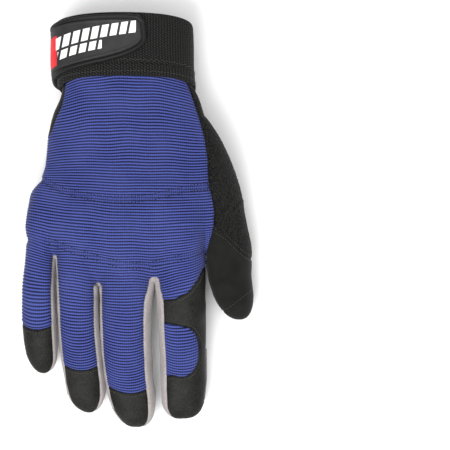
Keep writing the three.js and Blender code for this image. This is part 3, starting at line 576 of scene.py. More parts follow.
knit = Cloth("ribbed_stretch_knit", 0.85, 0.05)
standing = knit.add(POINT, {}, 2, attribute_name="tag")
flattened = knit.add(MATH, [1.0, standing], operation="SUBTRACT")
rib_wave = knit.add(MATH, [knit.wave(knit.y, RIB), standing], operation="MULTIPLY")
rib_wave = knit.add(MATH, [flattened, FLAT_TONE, rib_wave], operation="MULTIPLY_ADD")
loop_wave = knit.wave(knit.x, LOOP)
fluff = knit.add(NOISE, knit.grain(0.7, Detail=3.0))
yarn = knit.add(MATH, [fluff, 0.4, rib_wave], operation="MULTIPLY_ADD")
yarn = knit.add(MATH, [loop_wave, -0.28, yarn], operation="MULTIPLY_ADD")
# Painted shade: the grooves between the ribs are coloured near black, and the loops in them darker still, for
# the shade that falls in the grooves.
tone = knit.add(MIX, {0: knit.add(RANGE, [yarn, 0.2, 0.8]), 6: "#05071F", 7: "#434E94"}, **COLOURS)
groove = knit.add(MATH, [1.0, rib_wave], operation="SUBTRACT")
loops = knit.add(MATH, [loop_wave, groove], operation="MULTIPLY")
loops = knit.add(MATH, [loops, 0.6], operation="MULTIPLY")
tone = knit.add(MIX, {0: loops, 6: tone, 7: "#0B0E30"}, **COLOURS)
cloudy = knit.add(RANGE, [knit.add(NOISE, knit.grain(22.0, Detail=3.0)), 0.35, 0.7, 0.0, 0.08])
relief = knit.add(NOISE, knit.grain(0.5, Detail=3.0))
relief = knit.add(MATH, [loop_wave, 0.35, relief], operation="MULTIPLY_ADD")
tone = knit.add(MIX, {0: cloudy, 6: tone, 7: "#6F7BC4"}, **COLOURS)
KNIT = knit.finish(tone, relief, 0.12)
print(KNIT.name, "with ribs", RIB, "mm apart")

# %% [markdown]
# ### Leather and suede
# The palm and the finger ends are a black synthetic leather: a microfibre with a fine embossed grain,
# matt and a little worn to grey in patches. The side strips and the wear patches are suede, the
# brushed side of the same hide, which has no shine and a slight bloom. Real suede fibres are finer than a
# pixel, so they are drawn 0.5 to 0.9 mm wide.

# %% Leather and suede
hide = Cloth("black_synthetic_leather", 0.62)
broad = hide.add(MATH, [hide.add(NOISE, hide.grain(9.0, Detail=3.0)), 0.5], operation="MULTIPLY")
worn = hide.add(MATH, [hide.add(NOISE, hide.grain(1.1, Detail=4.0)), 0.9, broad], operation="MULTIPLY_ADD")
tone = hide.add(MIX, {0: hide.add(RANGE, [worn, 0.5, 0.95]), 6: "#0C0C0A", 7: "#262623"}, **COLOURS)
pores = hide.add(CELLS, hide.grain(0.9))
grain = hide.add(MATH, [hide.add(NOISE, hide.grain(0.6, Detail=3.0)), 0.6, pores], operation="MULTIPLY_ADD")
HIDE = hide.finish(tone, grain, 0.09)


def suede(name, size, dark, light):
    """Brushed suede with a fibre this many mm wide, between two greys."""
    made = Cloth(name, 0.92, 0.2)
    fibre = made.add(RANGE, [made.add(NOISE, made.grain(size, Detail=6.0)), 0.3, 0.7])
    tone = made.add(MIX, {0: fibre, 6: dark, 7: light}, **COLOURS)
    return made.finish(tone, made.add(NOISE, made.grain(0.5, Detail=6.0)), 0.1)


SIDE = suede("light_grey_suede", 0.8, "#8E8786", "#A9A3A2")
PATCH = suede("grey_suede", 0.9, "#706B6E", "#928C90")
print(HIDE.name, SIDE.name, PATCH.name)

# %% [markdown]
# ### Terry
# The thumb's back is a looped terry. Its loops stand up and swallow the light, so it is darker than the
# leather between them. The tag tells the terry from the smooth leather end of the same piece.

# %% Terry
loopy = Cloth("black_terry", 0.97, 0.08)
pile = loopy.add(POINT, {}, 2, attribute_name="tag")
tuft = loopy.add(RANGE, [loopy.add(CELLS, loopy.grain(0.9)), 0.1, 0.6])
rub = loopy.add(RANGE, [loopy.add(NOISE, loopy.grain(9.0, Detail=3.0)), 0.3, 0.75])
smooth_tone = loopy.add(MIX, {0: rub, 6: "#121210", 7: "#1C1C1A"}, **COLOURS)
terry_tone = loopy.add(MIX, {0: tuft, 6: "#2B2B29", 7: "#060606"}, **COLOURS)
tone = loopy.add(MIX, {0: pile, 6: smooth_tone, 7: terry_tone}, **COLOURS)
fluff = loopy.add(NOISE, loopy.grain(0.8, Detail=5.0))
fluff = loopy.add(MATH, [fluff, loopy.add(CELLS, loopy.grain(1.0))], operation="ADD")
standing = loopy.add(MATH, [pile, 0.8, 0.2], operation="MULTIPLY_ADD")
TERRY = loopy.finish(tone, loopy.add(MATH, [fluff, standing], operation="MULTIPLY"), 0.35)
print(TERRY.name)

# %% [markdown]
# ### Ribbed elastic
# The cuff is a woven elastic band. Its rubber cores are about 1.5 mm apart, and the threads that bind
# them run a little slanted across them.

# %% Elastic
elastic = Cloth("black_ribbed_elastic", 0.88, 0.04)
slope = elastic.add(MATH, [elastic.x, 0.5, elastic.y], operation="MULTIPLY_ADD")
weave = elastic.add(MATH, [elastic.wave(slope, 1.5), elastic.wave(elastic.x, 1.7)], operation="MULTIPLY")
fluff = elastic.add(NOISE, elastic.grain(1.2, Detail=3.0))
weave = elastic.add(MATH, [fluff, 0.5, weave], operation="MULTIPLY_ADD")
tone = elastic.add(MIX, {0: elastic.add(RANGE, [weave, 0.2, 1.1]), 6: "#050505", 7: "#2D2D2C"}, **COLOURS)
ELASTIC = elastic.finish(tone, weave, 0.18)
print(ELASTIC.name)

# %% [markdown]
# ### Moulded strap
# The strap is a soft black rubber from a satin mould. Its raised border is darker, partly its own matt finish
# and partly because the field inside it is painted lighter as a soft sheen, and the crease beside the border is
# painted black as the shade in it. Its print is left as plain blocks: a long row and a short row of slanted
# bars, and one red bar. The rows run along a line that is slanted like the strap's own edge.

# %% Strap rubber
BAR_PITCH, BAR_GAP, BAR_LEAN, ROW_LEAN = 5.6, 1.6, -0.2, -0.136
LONG_ROW, SHORT_ROW = ((104.4, 111.4), (-37.0, 10.0)), ((97.9, 102.9), (-36.0, -10.0))
RED_BAR, RED_FROM = (92.5, 110.0), -36.5
BORDER_WIDTH, CREASE_SHADE = 2.6, (2.5, 3.2)

rubber = Cloth("moulded_rubber", 0.5)
slant = rubber.add(MATH, [rubber.x, 13.8], operation="ADD")
slant = rubber.add(MATH, [slant, ROW_LEAN, rubber.y], operation="MULTIPLY_ADD")
bar = rubber.add(MATH, [slant, BAR_LEAN, rubber.x], operation="MULTIPLY_ADD")
bar = rubber.add(MATH, [bar, BAR_PITCH], operation="FLOORED_MODULO")
bar = rubber.add(MATH, [bar, BAR_GAP], operation="GREATER_THAN")
long_row, short_row = (
    rubber.add(MATH, [rubber.stripe(slant, *tall), rubber.stripe(rubber.x, *wide)], operation="MULTIPLY")
    for tall, wide in (LONG_ROW, SHORT_ROW))
white = rubber.add(MATH, [long_row, short_row], operation="MAXIMUM")
white = rubber.add(MATH, [white, bar], operation="MULTIPLY")
upper_side = rubber.add(POINT, {}, 2, attribute_name="tag")
white = rubber.add(MATH, [white, upper_side], operation="MULTIPLY")
turned = rubber.add(MATH, [rubber.x, RED_FROM], operation="LESS_THAN")
red = rubber.add(MATH, [rubber.stripe(rubber.y, *RED_BAR), turned], operation="MULTIPLY")
edge_mm = rubber.add(POINT, {}, 2, attribute_name="edge")
cloudy = rubber.add(RANGE, [rubber.add(NOISE, rubber.grain(6.0, Detail=3.0)), 0.3, 0.7])
# Painted sheen: the field inside the border is coloured a lighter grey for the satin's soft sheen; the darker
# border is partly its own matt finish.
tone = rubber.add(MIX, {0: cloudy, 6: "#272727", 7: "#2F2F2F"}, **COLOURS)
border = rubber.add(MATH, [edge_mm, BORDER_WIDTH], operation="LESS_THAN")
tone = rubber.add(MIX, {0: border, 6: tone, 7: "#191919"}, **COLOURS)
# Painted shade: the crease beside the raised border is coloured black for the shade that falls in it.
tone = rubber.add(MIX, {0: rubber.stripe(edge_mm, *CREASE_SHADE), 6: tone, 7: "#070707"}, **COLOURS)
tone = rubber.add(MIX, {0: red, 6: tone, 7: "#D8232B"}, **COLOURS)
tone = rubber.add(MIX, {0: white, 6: tone, 7: "#F2F2F0"}, **COLOURS)
RUBBER = rubber.finish(tone, rubber.add(NOISE, rubber.grain(0.7, Detail=3.0)), 0.04)
print(RUBBER.name, "with bars", BAR_PITCH, "mm apart")

# %% [markdown]
# ### Labels and thread
# The labels are a white satin weave, left plain, with a dark woven border. Their threads are 0.5 mm
# apart, four times the real spacing. The sewing thread is a twisted polyester with a little sheen: blue
# on the knit, grey on the suede and charcoal on the black pieces.

# %% Labels and thread
LABEL_BORDER, LABEL_THREAD = 1.2, 0.5

woven = Cloth("white_woven_label", 0.8)
border = woven.add(MATH, [woven.add(POINT, {}, 2, attribute_name="edge"), LABEL_BORDER], operation="LESS_THAN")
threads = [woven.wave(woven.x, LABEL_THREAD), woven.wave(woven.y, LABEL_THREAD)]
threads = woven.add(MATH, threads, operation="MULTIPLY")
tone = woven.add(MIX, {0: border, 6: "#ECEBE8", 7: "#1C1C1C"}, **COLOURS)
LABEL = woven.finish(tone, threads, 0.06)


def thread(name, code):
    """Twisted sewing thread of one colour."""
    made = Cloth(name, 0.7, 0.2)
    return made.finish(code, made.add(NOISE, made.grain(0.3, Detail=3.0)), 0.05)


THREAD_BLUE = thread("blue_thread", "#0D1033")
THREAD_GREY = thread("grey_thread", "#403D40")
THREAD_CHARCOAL = thread("charcoal_thread", "#383836")
print("materials:", len(bpy.data.materials))

# %% [markdown]
# ## The pattern pieces
# The glover cuts a back, a palm, three narrow side strips that run between the fingers, and a thumb in
# two halves. Their outlines are drawn flat, in shares of the palm's half width and length. Each finger
# has a row of its own: how far in from the finger's sides the back and the palm end, where the knit ends,
# and where the palm's finger pad starts, as shares of the half width and the length.

# %% Outlines of the seams
#           back left, back right, palm left, palm right, knit end, pad start
SEWING = [(0.0, 0.16, 0.0, 0.2, 0.655, 0.58), (0.12, 0.2, 0.26, 0.16, 0.72, 0.67),
          (0.1, 0.27, 0.26, 0.16, 0.775, 0.69), (0.26, 0.0, 0.24, 0.0, 0.75, 0.66)]
CROTCHES = [share * MIDDLE["length"] - 2.2 for share in (-0.142, -0.28, -0.248)]
CROTCH_RADIUS = 2.2
SIDE_X = 0.94 * HALF
FAR = 150.0  # well outside the glove


def palm_plan(rows):
    """Points in shares of the palm's half width and length."""
    return np.array(rows) * [HALF, PALM_LENGTH]


BACK_RIGHT = palm_plan([(0.7, 1.2), (0.73, 1), (0.8, 0.88), (0.87, 0.74), (0.925, 0.6), (0.957, 0.46),
                        (0.965, 0.32), (0.992, 0.21), (1.015, 0.1), (1.012, 0), (0.992, -0.07), (0.948, -0.17)])
BACK_LEFT = smooth_line(palm_plan([(-0.9, 0.57), (-0.775, 0.64), (-0.71, 0.74), (-0.64, 0.83), (-0.615, 0.92),
                                   (-0.6, 1), (-0.58, 1.2)]))
THUMB_SEAM = palm_plan([(0.78, 1.2), (0.76, 0.95), (0.74, 0.75), (0.77, 0.6), (0.82, 0.4), (0.865, 0.2),
                        (0.91, 0.03), (0.935, -0.1)])
OUTER_SEAM = palm_plan([(0.54, 1.2), (0.55, 1), (0.65, 0.83), (0.82, 0.64), (1.02, 0.36), (1.19, 0),
                        (1.25, -0.18), (1.3, -0.48), (1.36, -0.62), (1.5, -0.75)])


def index_plan(rows):
    """Points in shares of the index finger's half width and length."""
    return np.array(rows) * [INDEX["width"] / 2, INDEX["length"]] + [INDEX["base"], 0]


INDEX_END = index_plan([(1.3, -0.2), (0.94, -0.22), (0.72, -0.27), (0.36, -0.325), (-0.24, -0.36),
                        (-1.3, -0.38)])
INDEX_PATCH = index_plan([(-0.9, -0.505), (0.1, -0.5), (0.5, -0.522), (0.69, -0.57), (0.75, -0.63),
                          (0.69, -0.69), (0.46, -0.735), (0.1, -0.755), (-0.3, -0.75), (-0.9, -0.735)])
CRESCENT = palm_plan([(-0.56, 0.69), (-0.3, 0.82), (0, 0.87), (0.28, 0.83), (0.52, 0.71), (0.69, 0.5),
                      (0.75, 0.22), (0.78, 0.02), (0.68, -0.06), (0.25, -0.04), (-0.2, 0.03), (-0.31, 0.12),
                      (-0.17, 0.22), (0.08, 0.27), (0.18, 0.42), (0.08, 0.52), (-0.14, 0.5), (-0.36, 0.36),
                      (-0.46, 0.2), (-0.57, 0.11), (-0.7, 0.15), (-0.73, 0.33), (-0.68, 0.53)])
KNUCKLE = palm_plan([(-0.84, 0.03), (-0.45, -0.01), (0, -0.07), (0.45, -0.13), (0.86, -0.16), (0.9, -0.3),
                     (0.84, -0.52), (0.66, -0.58), (0.5, -0.45), (0.34, -0.37), (0.2, -0.46), (0.08, -0.56),
                     (-0.06, -0.54), (-0.17, -0.42), (-0.3, -0.36), (-0.42, -0.44), (-0.53, -0.48),
                     (-0.64, -0.4), (-0.74, -0.29), (-0.86, -0.25), (-0.9, -0.1)])
print("crotches at", [round(y, 1) for y in CROTCHES], "mm")

# %% [markdown]
# Between two fingers both panels are notched, and the side strip shows in the notch. A notch narrows
# towards its crotch, because the knit and the leather are pulled together there. The same function gives
# the panels' edges and the strips' edges, so they always meet.

# %% Notched outlines
NOTCH_TOPS = {0: (0.4, 0.6, 0.36), 2: (0.6, 0.45, 0.4)}  # share of the inset left at the crotch, back and palm
NOTCH_LENGTHS = {0: (30.0, 30.0, 13.0), 2: (20.0, 20.0, 20.0)}  # over which it widens, in mm


def along(line, y):
    """The x of a seam at each y."""
    order = np.argsort(line[:, 1])
    return np.interp(y, line[order, 1], line[order, 0])


def step(value, low, high):
    """0 below low, 1 above high, and a smooth rise between."""
    t = np.clip((value - low) / (high - low), 0, 1)
    return t * t * (3 - 2 * t)


def tip_x(f):
    """The x of a finger's tip."""
    return finger_section(f, -f["length"])[0]


def notch_inset(i, y, first, inset):
    """A panel's inset beside notch i, which narrows towards its crotch."""
    top = NOTCH_TOPS[first][i]
    return inset * (top + (1 - top) * step(CROTCHES[i] - y, 0, NOTCH_LENGTHS[first][i]))


def finger_edge(f, side, first, i):
    """A panel's edge along the side of a finger that faces notch i, from the crotch to the tip."""
    start = FINGER_ROUND - f["length"]
    y = np.concatenate([np.linspace(CROTCHES[i], start, 24, endpoint=False),
                        start - FINGER_ROUND * np.sin(np.pi / 2 * np.arange(12) / 12)])
    c, a, _, _ = finger_section(f, y)
    inset = notch_inset(i, y, first, SEWING[i][first + 1] if side > 0 else SEWING[i + 1][first])
    return np.concatenate([np.stack([c + side * a * (1 - inset), y], -1), [[tip_x(f), -f["length"] - 0.6]]])


def panel_outline(first, after):
    """The outline of the back (first = 0) or the palm (first = 2), notched between the fingers."""
    line = [[-FAR, 0], [-FAR, -130], [tip_x(LITTLE), -130]]
    for i, f in enumerate(FINGERS):
        if i:
            line += finger_edge(f, -1, first, i - 1).tolist()
        if i == 3:
            break
        right = finger_edge(f, 1, first, i)[::-1]
        line += right.tolist()
        start, end = right[-1], finger_edge(FINGERS[i + 1], -1, first, i)[0]
        for turn in np.pi * np.arange(1, 12) / 12:
            line.append([(start[0] + end[0]) / 2 - (end[0] - start[0]) / 2 * math.cos(turn),
                         CROTCHES[i] + CROTCH_RADIUS * math.sin(turn)])
    return np.array(line + [[SIDE_X + 1, -130]] + after)


BACK_OUTLINE = panel_outline(0, [[SIDE_X + 1, BACK_RIGHT[-1, 1]], *BACK_RIGHT[::-1].tolist(), [-FAR, 100]])
PALM_OUTLINE = panel_outline(2, [[SIDE_X + 1, -8.3], *THUMB_SEAM[::-1].tolist(), [-FAR, 100]])
INDEX_ZONE = np.concatenate([INDEX_END, [[INDEX_END[-1, 0], -150], [FAR, -150], [FAR, INDEX_END[0, 1]]]])
OUTER_ZONE = np.concatenate([OUTER_SEAM, [[FAR, -62], [FAR, 100]]])
print("back outline:", len(BACK_OUTLINE), "points, palm outline:", len(PALM_OUTLINE), "points")

# %% [markdown]
# The panels end where the glove does, so the contour has to be known at every station. Worn cloth is
# never quite smooth: a few waves of different lengths, added up with a fixed seed, give it its slow
# lumps. Rows of points are set closer together where the skin turns down or a tip closes.

# %% Contours, lumps and rows


def left_contour(y):
    """The little finger's side of the glove at each y."""
    c, a, _, _ = hand_section(y)
    d, b, _, _ = finger_section(LITTLE, y)
    return np.minimum(c - a, np.where(y < LITTLE["start"], d - b, 999))


def right_contour(y, thumb=False):
    """The index finger's side of the glove at each y, or the thumb's."""
    c, a, _, _ = hand_section(y)
    d, b, _, _ = finger_section(INDEX, y)
    edge = np.maximum(c + a, np.where(y < INDEX["start"], d + b, -999))
    if thumb:
        c, a, _, _ = thumb_section(y)
        edge = np.maximum(edge, np.where(y < THUMB_ROOT, c + a, -999))
    return edge


def nearest_finger(x, y):
    """The number of the finger whose middle line is nearest."""
    return np.argmin(np.stack([np.abs(x - finger_section(f, y, False)[0]) for f in FINGERS]), 0)


ROUND = 6.28


def lumps(x, y, size, seed):
    """Uneven waves between about -1 and 1, roughly this many mm long."""
    rng = np.random.default_rng(seed)
    total = 0
    for turn, phase, k in rng.uniform([0, 0, 0.7], [ROUND, ROUND, 1.5], (9, 3)):
        total = total + np.sin((x * math.cos(turn) + y * math.sin(turn)) * ROUND * k / size + phase)
    return total / 4


def ends(count, first=True, last=True):
    """Places from 0 to 1, closer together at the ends where the skin turns down."""
    t = np.linspace(0, 1, count)
    if first and last:
        return (1 - np.cos(np.pi * t)) / 2
    return 1 - np.cos(np.pi * t / 2) if first else np.sin(np.pi * t / 2)


def tip_rows(length, end_round, top, root=0.0, gap=1.0, blunt=2.2):
    """Rows of y from a rounded tip up to y = top."""
    start = root - length + end_round
    tau = np.linspace(0.03, 1, 16)
    tip = start - end_round * (1 - tau**blunt) ** (1 / blunt)
    return np.concatenate([tip[:-1], np.linspace(start, top, max(int((top - start) / gap), 2))])


# %% [markdown]
# ## The back
# The back is one piece of ribbed knit over the hand and three fingers. The ribs could be bump alone, but
# they are what the eye sees first, so they are modelled, four rows of the grid to each rib. A padded band
# crosses the knuckles between two quilted seams. The ribs are not straight: the filled glove slings and
# pulls them.

# %% Knuckle band and the course of the ribs
PAD_TOP = np.array([(42, 180), (60, 190), (85, 197), (115, 201), (150, 199), (190, 190), (207, 188)])
PAD_LOW = np.array([(50, 240), (80, 250), (115, 260), (150, 262), (200, 250)])
PAD_TOP, PAD_LOW = ((line * [1, -1] + [-120, 225]) * 0.6 for line in (PAD_TOP, PAD_LOW))
PAD_HEIGHT, PAD_SLOPE, PAD_GROOVE = 1.6, 9.0, 0.6
SLING_X = 18.0  # the lowest place of the smile that the ribs make
CROTCH_PULL = 2.2


def pad_depth(x, y):
    """How far a point is inside the quilted knuckle band, from its nearer seam."""
    return np.minimum(np.interp(x, *PAD_TOP.T) - y, y - np.interp(x, *PAD_LOW.T))


def pad_rise(x, y):
    """How far the quilted knuckle band stands up, with a groove along both of its seams."""
    d = pad_depth(x, y)
    return PAD_HEIGHT * step(d, 0, PAD_SLOPE) - PAD_GROOVE * np.exp(-((d / 1.8) ** 2))


def crotch_middle(i):
    """The x of the middle of the notch between fingers i and i + 1."""
    c, a, _, _ = finger_section(FINGERS[i], CROTCHES[i])
    d, b, _, _ = finger_section(FINGERS[i + 1], CROTCHES[i])
    return (c + a + d - b) / 2


CROTCH_MIDDLES = [crotch_middle(i) for i in range(3)]


def rib_bow(x, v):
    """How far a rib bows from a straight line: up at the wrist, slung like a smile over the knuckles, pulled
    down into each crotch and down in the middle of each finger. A slow waver keeps it from looking ruled."""
    bow = 2.6 * step(v, 25, 83) * (1 - np.clip(np.abs(x - 3.8) / 42, 0, 1) ** 2.2)
    over_knuckles = (1 - step(v, 5, 50)) * (1 - step(-v, 25, 62))
    bow = bow + 5.0 * over_knuckles * ((x - SLING_X) / 65) ** 2
    index_root = step(-v, 0, 34) * (1 - step(-v, 34, 66))
    bow = bow + 5.0 * index_root * np.clip((x - SLING_X) / 32, 0, 1.2) ** 2 + 0.3 * lumps(x, v, 30, 31)
    for f in FINGERS:
        c, a, _, _ = finger_section(f, v, False)
        bow = bow - 3.0 * step(-v, 30, 80) * np.clip(1 - ((x - c) / a) ** 2, 0, 1)
    for middle, crotch in zip(CROTCH_MIDDLES, CROTCHES):
        bow = bow - CROTCH_PULL * np.exp(-(((x - middle) / 8) ** 2) - ((v - crotch - 3) / 10) ** 2)
    return bow


print("crotch middles:", [round(float(x), 1) for x in CROTCH_MIDDLES], "mm")

# %% [markdown]
# The panel is a grid of as many columns at every station, from one contour to the other. Each row follows
# one rib, so the rib's wave is simply a cosine of the row, and the flat map carries the rib's own count.

# %% Back panel
RIB_HEIGHT = 0.32
SEAM_HALF, SEAM_PRESS = 1.5, 0.6
KNIT_LUMPS = (0.35, 34, 3)  # height, length and seed


def back_edges(y):
    """The knit's left and right edge at each y."""
    left = np.where(y > BACK_LEFT[0, 1], np.maximum(along(BACK_LEFT, y), left_contour(y)), left_contour(y))
    blend = step(y, -19, -13)
    right = along(BACK_RIGHT, y) * blend + right_contour(y) * (1 - blend)
    return left, right


share = ends(124)
v = np.repeat(np.arange(-97, PALM_LENGTH + 0.01, RIB / 4)[:, None], len(share), 1)
y = v
for _ in range(4):
    left, right = back_edges(y)
    x = left + (right - left) * share
    y = v + rib_bow(x, v)
flat = np.stack([x, y, skin(x, y, 1)], -1)
first, last = arcs(flat)
cut = inside(BACK_OUTLINE, x, y)
cut = np.minimum(cut, -inside(INDEX_ZONE, x, y) - 0.25)
finger_ends = np.array([f["length"] * SEWING[i][4] for i, f in enumerate(FINGERS[:3])] + [999])
cut = np.minimum(cut, v + finger_ends[nearest_finger(x, y)] - 0.25)
edge = np.minimum(np.minimum(cut, PALM_LENGTH - v), np.minimum(first, last))
crisp = 1 - SEAM_PRESS * np.exp(-((pad_depth(x, y) / SEAM_HALF) ** 4))
uneven = KNIT_LUMPS[0] * lumps(x, y, *KNIT_LUMPS[1:]) * step(edge, 0.3, 4)
outer = 0.3 + RIB_HEIGHT * crisp * np.cos(2 * np.pi * v / RIB) + pad_rise(x, y) + uneven + roll(edge)
piece("back_panel", [grid(flat, cut, outer, -1.2 + roll(edge) + 0.5 * pad_rise(x, y),
                          uv=np.stack([x, v], -1), edge=edge, tag=crisp)], KNIT)

# %% [markdown]
# ## The finger ends
# Leather caps close the fingers on the back. A grid seen from above would be torn at a steep tip, so each
# finger end is drawn round its own tube instead, and the tip closes without a pinch.

# %% Fingertips
LEATHER_IN = -1.3  # the inner side of a leather panel


def finger_grid(f, side, y, left, right, count):
    """Points on the upper or lower side of a finger, between two shares of its half width."""
    power = UPPER if side > 0 else LOWER
    c, a, up, down = finger_section(f, y[:, None])
    b = up if side > 0 else down
    start, stop = np.pi - np.arccos(left ** (power / 2)), np.arccos(right ** (power / 2))
    angle = np.linspace(start, stop, count, axis=-1)
    co, si = np.cos(angle), np.sin(angle)
    x = c + a * np.sign(co) * np.abs(co) ** (2 / power)
    z = b * np.abs(si) ** (2 / power)
    z = z if side > 0 else -np.minimum(z, FLAT * b)
    flat = np.stack([x, y[:, None] + 0 * x, z], -1)
    return flat if side > 0 else flat[:, ::-1]


def rib_row(x, y):
    """The rib coordinate of a plan point."""
    v = y
    for _ in range(4):
        v = y - rib_bow(x, v)
    return v


for i, name in enumerate(["little", "ring", "middle"]):
    f = FINGERS[i]
    y = tip_rows(f["length"], FINGER_ROUND, -f["length"] * SEWING[i][4] + 4, gap=0.8)
    flat = finger_grid(f, 1, y, 1 - SEWING[i][0], 1 - SEWING[i][1], 34)
    x, yy = flat[..., 0], flat[..., 1]
    cut = -finger_ends[i] - rib_row(x, yy) - 0.1
    first, last = arcs(flat)
    edge = np.minimum(np.minimum(first, last), cut)
    outer = 0.15 + 0.25 * lumps(x, yy, 16, i) + roll(edge)
    piece("fingertip_" + name, [grid(flat, cut, outer, LEATHER_IN + roll(edge), edge=edge)], HIDE)

# %% [markdown]
# On the index finger the leather runs further up, round a half-round patch of the knit. Both come from
# one grid, trimmed on the two sides of the same line.

# %% Index finger
y = tip_rows(INDEX["length"], FINGER_ROUND, -18, gap=0.6, blunt=INDEX["blunt"])
flat = finger_grid(INDEX, 1, y, 1 - notch_inset(2, y, 0, SEWING[3][0]), 1.0, 56)
x, yy = flat[..., 0], flat[..., 1]
flat[..., 2] = np.where(yy > -60, np.maximum(flat[..., 2], skin(x, yy, 1)), flat[..., 2])
zone, patch_line = inside(INDEX_ZONE, x, yy), smooth_line(INDEX_PATCH, 5, True)
in_patch = inside(patch_line, x, yy)
first, last = arcs(flat)
cut = np.minimum(zone, -in_patch - 0.1)
edge = np.minimum(np.minimum(first, last), cut)
outer = 0.15 + 0.25 * lumps(x, yy, 16, 5) + roll(edge)
piece("index_back_leather", [grid(flat, cut, outer, LEATHER_IN + roll(edge), edge=edge)], HIDE)
v = rib_row(x, yy)
edge = np.minimum(first, in_patch)
outer = 0.45 + 0.2 * np.cos(2 * np.pi * v / RIB) + roll(edge, 1.5, 0.9)
piece("index_back_patch", [grid(flat, in_patch - 0.1, outer, -1.1 + roll(edge), uv=np.stack([x, v], -1),
                                edge=edge)], KNIT)

# %% [markdown]
# ## The side strips
# A long strip of suede runs up one finger's side, round the crotch and down the next finger. It is what
# gives the fingers their depth. Glovers call it a fourchette. Each strip spans from the back's notch to
# the palm's notch through the finger's side, and puffs into a fold at the crotch.

# %% Side strips


def strip_half(top_inset, side_power, count):
    """Sideways and height shares from the finger's side (0, 0) to the panel's edge (1, 1)."""
    angle = np.arccos((1 - top_inset)[:, None] ** (side_power / 2)) * np.linspace(0, 1, count)
    across = (1 - np.cos(angle) ** (2 / side_power)) / top_inset[:, None]
    height = np.sin(angle) ** (2 / side_power)
    return across, height / height[:, -1:]


def strip_lines(i, first):
    """The notch between fingers i and i + 1 with each point's inset and the point on the finger's side."""
    f, g = FINGERS[i], FINGERS[i + 1]
    down, up = (tip_rows(k["length"], FINGER_ROUND, CROTCHES[i], blunt=k["blunt"]) for k in (f, g))
    a_in = notch_inset(i, down, first, SEWING[i][first + 1])
    b_in = notch_inset(i, up[::-1], first, SEWING[i + 1][first])
    c, a, _, _ = finger_section(f, down)
    d, b, _, _ = finger_section(g, up[::-1])
    turn = np.pi * np.arange(1, 14) / 14
    x0, x1, m0, m1 = (c + a * (1 - a_in))[-1], (d - b * (1 - b_in))[0], (c + a)[-1], (d - b)[0]
    edge = np.concatenate([np.stack([c + a * (1 - a_in), down], -1),
                           np.stack([(x0 + x1) / 2 - (x1 - x0) / 2 * np.cos(turn),
                                     CROTCHES[i] + CROTCH_RADIUS * np.sin(turn)], -1),
                           np.stack([d - b * (1 - b_in), up[::-1]], -1)])
    middle = np.concatenate([np.stack([c + a, down], -1),
                             np.stack([(m0 + m1) / 2 - (m1 - m0) / 2 * np.cos(turn),
                                       CROTCHES[i] - 0.6 * np.sin(turn)], -1),
                             np.stack([d - b, up[::-1]], -1)])
    inset = np.concatenate([a_in, np.interp(turn, [0, np.pi], [a_in[-1], b_in[0]]), b_in])
    return edge, middle, inset


FOLD_LENGTH, FOLDS = 9.0, (0.5, 0.7, 1.6)  # how far the folds reach, and how high each one puffs
for i, name in enumerate(["little_ring", "ring_middle", "middle_index"]):
    halves = []
    for first, side, power in ((0, 1, UPPER), (2, -1, LOWER)):
        line, middle, inset = strip_lines(i, first)
        across, height = strip_half(inset, power, 13)
        plan = middle[:, None] + (line - middle)[:, None] * across[..., None]
        top = skin(line[:, 0], line[:, 1], side)
        halves.append(np.concatenate([plan, (side * top[:, None] * height)[..., None]], -1))
    flat = np.concatenate([halves[0][:, ::-1], halves[1][:, 1:]], 1)
    first, last = arcs(flat)
    edge = np.minimum(first, last)
    outer = 0.1 + roll(edge, 1.4, 0.9) + 0.25 * lumps(flat[..., 1], flat[..., 2], 13, i + 20)
    fold = np.exp(-(((CROTCHES[i] - flat[..., 1]) / FOLD_LENGTH) ** 2)) * step(edge, 0.3, 4)
    outer = outer + FOLDS[i] * fold
    piece("fourchette_" + name, [grid(flat, edge + 1, outer, outer - 1.2, edge=edge)], SIDE)

# %% [markdown]
# ## The thumb
# The thumb's back is terry, for wiping a brow. It starts at the knit, covers the outer side and turns
# under it. A slanting seam joins a smooth leather end to it, and a second seam crosses the tip. The
# thumb's front is leather. Both halves close at a rounded tip. The filled thumb has a few creases where
# it bends.

# %% Thumb back


def to_line(line, x, y):
    """Distance from each point to an open line."""
    near = np.full(x.shape, 1e9)
    for (ax, ay), (bx, by) in zip(line[:-1], line[1:]):
        ex, ey = bx - ax, by - ay
        t = np.clip(((x - ax) * ex + (y - ay) * ey) / (ex * ex + ey * ey), 0, 1)
        near = np.minimum(near, (x - ax - t * ex) ** 2 + (y - ay - t * ey) ** 2)
    return np.sqrt(near)


y = tip_rows(THUMB_LENGTH, THUMB_ROUND, PALM_LENGTH, root=THUMB_ROOT, gap=0.8)[:, None]
c, a, _, _ = thumb_section(y)
inner = np.where(y > BACK_RIGHT[-1, 1], along(BACK_RIGHT, y), SIDE_X)
inner = np.maximum(inner, np.where(y < -16, c - a, -999))
limit = right_contour(y, thumb=True)
limit = np.where(y < -30, c + a, limit)
seam = np.minimum(along(OUTER_SEAM, y), limit - 0.06 * (limit - inner))
x_top = inner + (limit - inner) * ends(66)
x_low = limit + (seam - limit) * ends(34, last=False)[1:]
y_top, y_low = y + 0 * x_top, y + 0 * x_low
flat = np.concatenate([np.stack([x_top, y_top, skin(x_top, y_top, 1)], -1),
                       np.stack([x_low, y_low, -skin(x_low, y_low, -1)], -1)], 1)
first, last = arcs(flat)
edge = np.minimum(np.minimum(first, last), PALM_LENGTH + 1 - flat[..., 1])
x, yy = flat[..., 0], flat[..., 1]
THUMB_CAP = np.array([(50.0, 1.5), (55.2, -1.8), (63.0, -6.6), (72.0, -15.0), (82.0, -23.0)])
THUMB_TIP_SEAM = np.array([(60.0, -52.0), (64.8, -49.8), (70.8, -45.0), (79.0, -39.5), (84.0, -36.0)])
